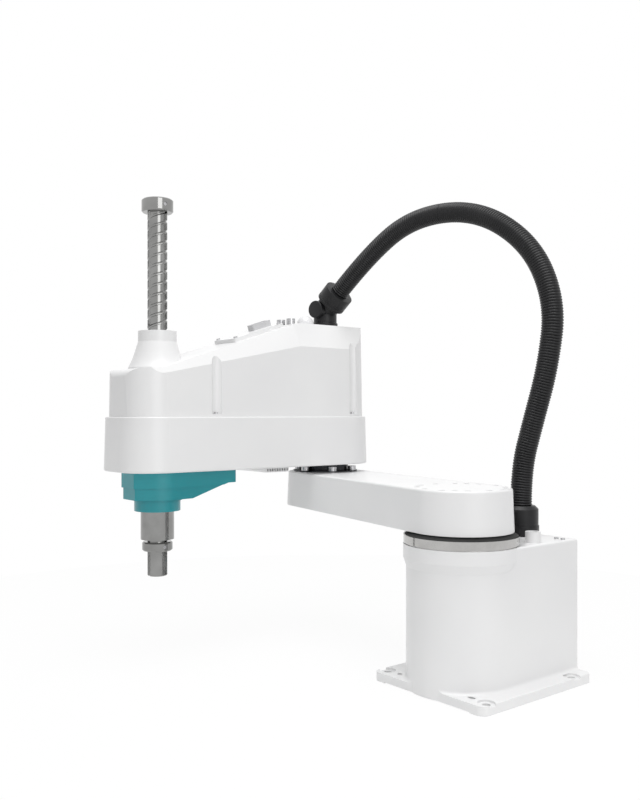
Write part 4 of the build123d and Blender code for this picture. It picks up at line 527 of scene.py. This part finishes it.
board_green = moulded("board_green", (0.01, 0.12, 0.04), (0.015, 0.16, 0.055), 0.4, 0.1)

FINISHES = {
    "white_paint": white_paint,
    "teal_paint": teal_paint,
    "polished_steel": polished_steel,
    "screw_steel": screw_steel,
    "dark_steel": dark_steel,
    "black_plastic": black_plastic,
    "grey_plastic": grey_plastic,
    "clear_plastic": clear_plastic,
    "hose_plastic": hose_plastic,
    "seal_rubber": seal_rubber,
    "motor_black": motor_black,
    "bracket_aluminium": bracket_aluminium,
    "board_green": board_green,
}


def dress(piece, material):
    """Gives a piece one material all over."""
    piece.data.materials.clear()
    piece.data.materials.append(material)


for subpart in frame["record"]["subparts"]:
    dress(frame["nodes"][subpart["node"]], FINISHES[subpart["material_slot"]])
for hose in hoses:
    dress(hose, hose_plastic)
# The quill's shaft, sleeve and collars take the steel darkened with painted shade
dress(quill_shaft, quill_steel_painted_dark)
for node in ("quill_sleeve", "stop_collar", "top_collar"):
    dress(frame["nodes"][node], quill_steel_painted_dark)
for fitting in (hose_elbow, hose_nut):
    dress(fitting, black_plastic)
dress(frame["nodes"]["top_air_ports"], screw_steel)
dress(frame["nodes"]["dsub_connector"], grey_plastic)


# Floor, world and lamps
FLOOR_RADIUS = 0.85
FLOOR_MIDDLE = (0.1, -0.15, 0)
FLOOR_SIDES = 64
FLOOR_COLOUR = (0.9, 0.9, 0.9, 1)
FLOOR_ROUGHNESS = 0.9
FLOOR_GLOW = 0.94
WHITE_RAYS = ("Is Camera Ray", "Is Glossy Ray", "Is Transmission Ray")

# Light that the room gives to every other kind of ray, where 1 is white
ROOM_LIGHT = 0.46


def add_rays(tree, kinds):
    """1 for the kinds of ray that are named and 0 for the others."""
    rays = tree.nodes.new("ShaderNodeLightPath")
    total = rays.outputs[kinds[0]]
    for kind in kinds[1:]:
        either = tree.nodes.new("ShaderNodeMath")
        either.operation = "ADD"
        either.use_clamp = True
        tree.links.new(total, either.inputs[0])
        tree.links.new(rays.outputs[kind], either.inputs[1])
        total = either.outputs["Value"]
    return total


def make_floor():
    """A plain white floor that keeps a soft shadow and shows white to the camera and in metal."""
    bpy.ops.object.select_all(action="DESELECT")
    bpy.ops.mesh.primitive_circle_add(
        vertices=FLOOR_SIDES, radius=FLOOR_RADIUS, fill_type="NGON", location=FLOOR_MIDDLE
    )
    floor = bpy.context.object
    floor.name = "floor"
    material = bpy.data.materials.new("floor_white")
    material.use_nodes = True
    tree = material.node_tree
    shader = tree.nodes["Principled BSDF"]
    shader.inputs["Base Color"].default_value = FLOOR_COLOUR
    shader.inputs["Roughness"].default_value = FLOOR_ROUGHNESS
    glow = tree.nodes.new("ShaderNodeEmission")
    share = tree.nodes.new("ShaderNodeMath")
    share.operation = "MULTIPLY"
    share.inputs[1].default_value = FLOOR_GLOW
    tree.links.new(add_rays(tree, WHITE_RAYS), share.inputs[0])
    mix = tree.nodes.new("ShaderNodeMixShader")
    tree.links.new(share.outputs["Value"], mix.inputs["Fac"])
    tree.links.new(shader.outputs["BSDF"], mix.inputs[1])
    tree.links.new(glow.outputs["Emission"], mix.inputs[2])
    tree.links.new(mix.outputs["Shader"], tree.nodes["Material Output"].inputs["Surface"])
    floor.data.materials.append(material)


def make_world():
    """White to the camera, in metal and through clear plastic, and a gentle light on paint."""
    world = bpy.data.worlds.new("studio")
    bpy.context.scene.world = world
    world.use_nodes = True
    tree = world.node_tree
    background = tree.nodes["Background"]
    level = tree.nodes.new("ShaderNodeMapRange")
    level.inputs["To Min"].default_value = ROOM_LIGHT
    level.inputs["To Max"].default_value = 1.0
    tree.links.new(add_rays(tree, WHITE_RAYS), level.inputs["Value"])
    tree.links.new(level.outputs["Result"], background.inputs["Strength"])
    background.inputs["Color"].default_value = (1, 1, 1, 1)


def make_lamp(name, place, target, size, power):
    """A soft square lamp that points at a target."""
    data = bpy.data.lights.new(name, "AREA")
    data.shape = "SQUARE"
    data.size = size
    data.energy = power
    lamp = bpy.data.objects.new(name, data)
    lamp.location = place
    lamp.rotation_euler = (Vector(target) - Vector(place)).to_track_quat("-Z", "Y").to_euler()
    bpy.context.scene.collection.objects.link(lamp)


# Each lamp: its name, place, size and power
OBJECT_MIDDLE = (0.05, -0.15, 0.3)
LAMPS = (
    ("key", (0.35, 0.25, 2.3), 1.6, 38),
    ("fill", (0.6, 1.9, 0.8), 1.2, 9),
)

make_floor()
make_world()
for name, place, size, power in LAMPS:
    make_lamp(name, place, OBJECT_MIDDLE, size, power)

bpy.context.scene.view_settings.view_transform = "Standard"
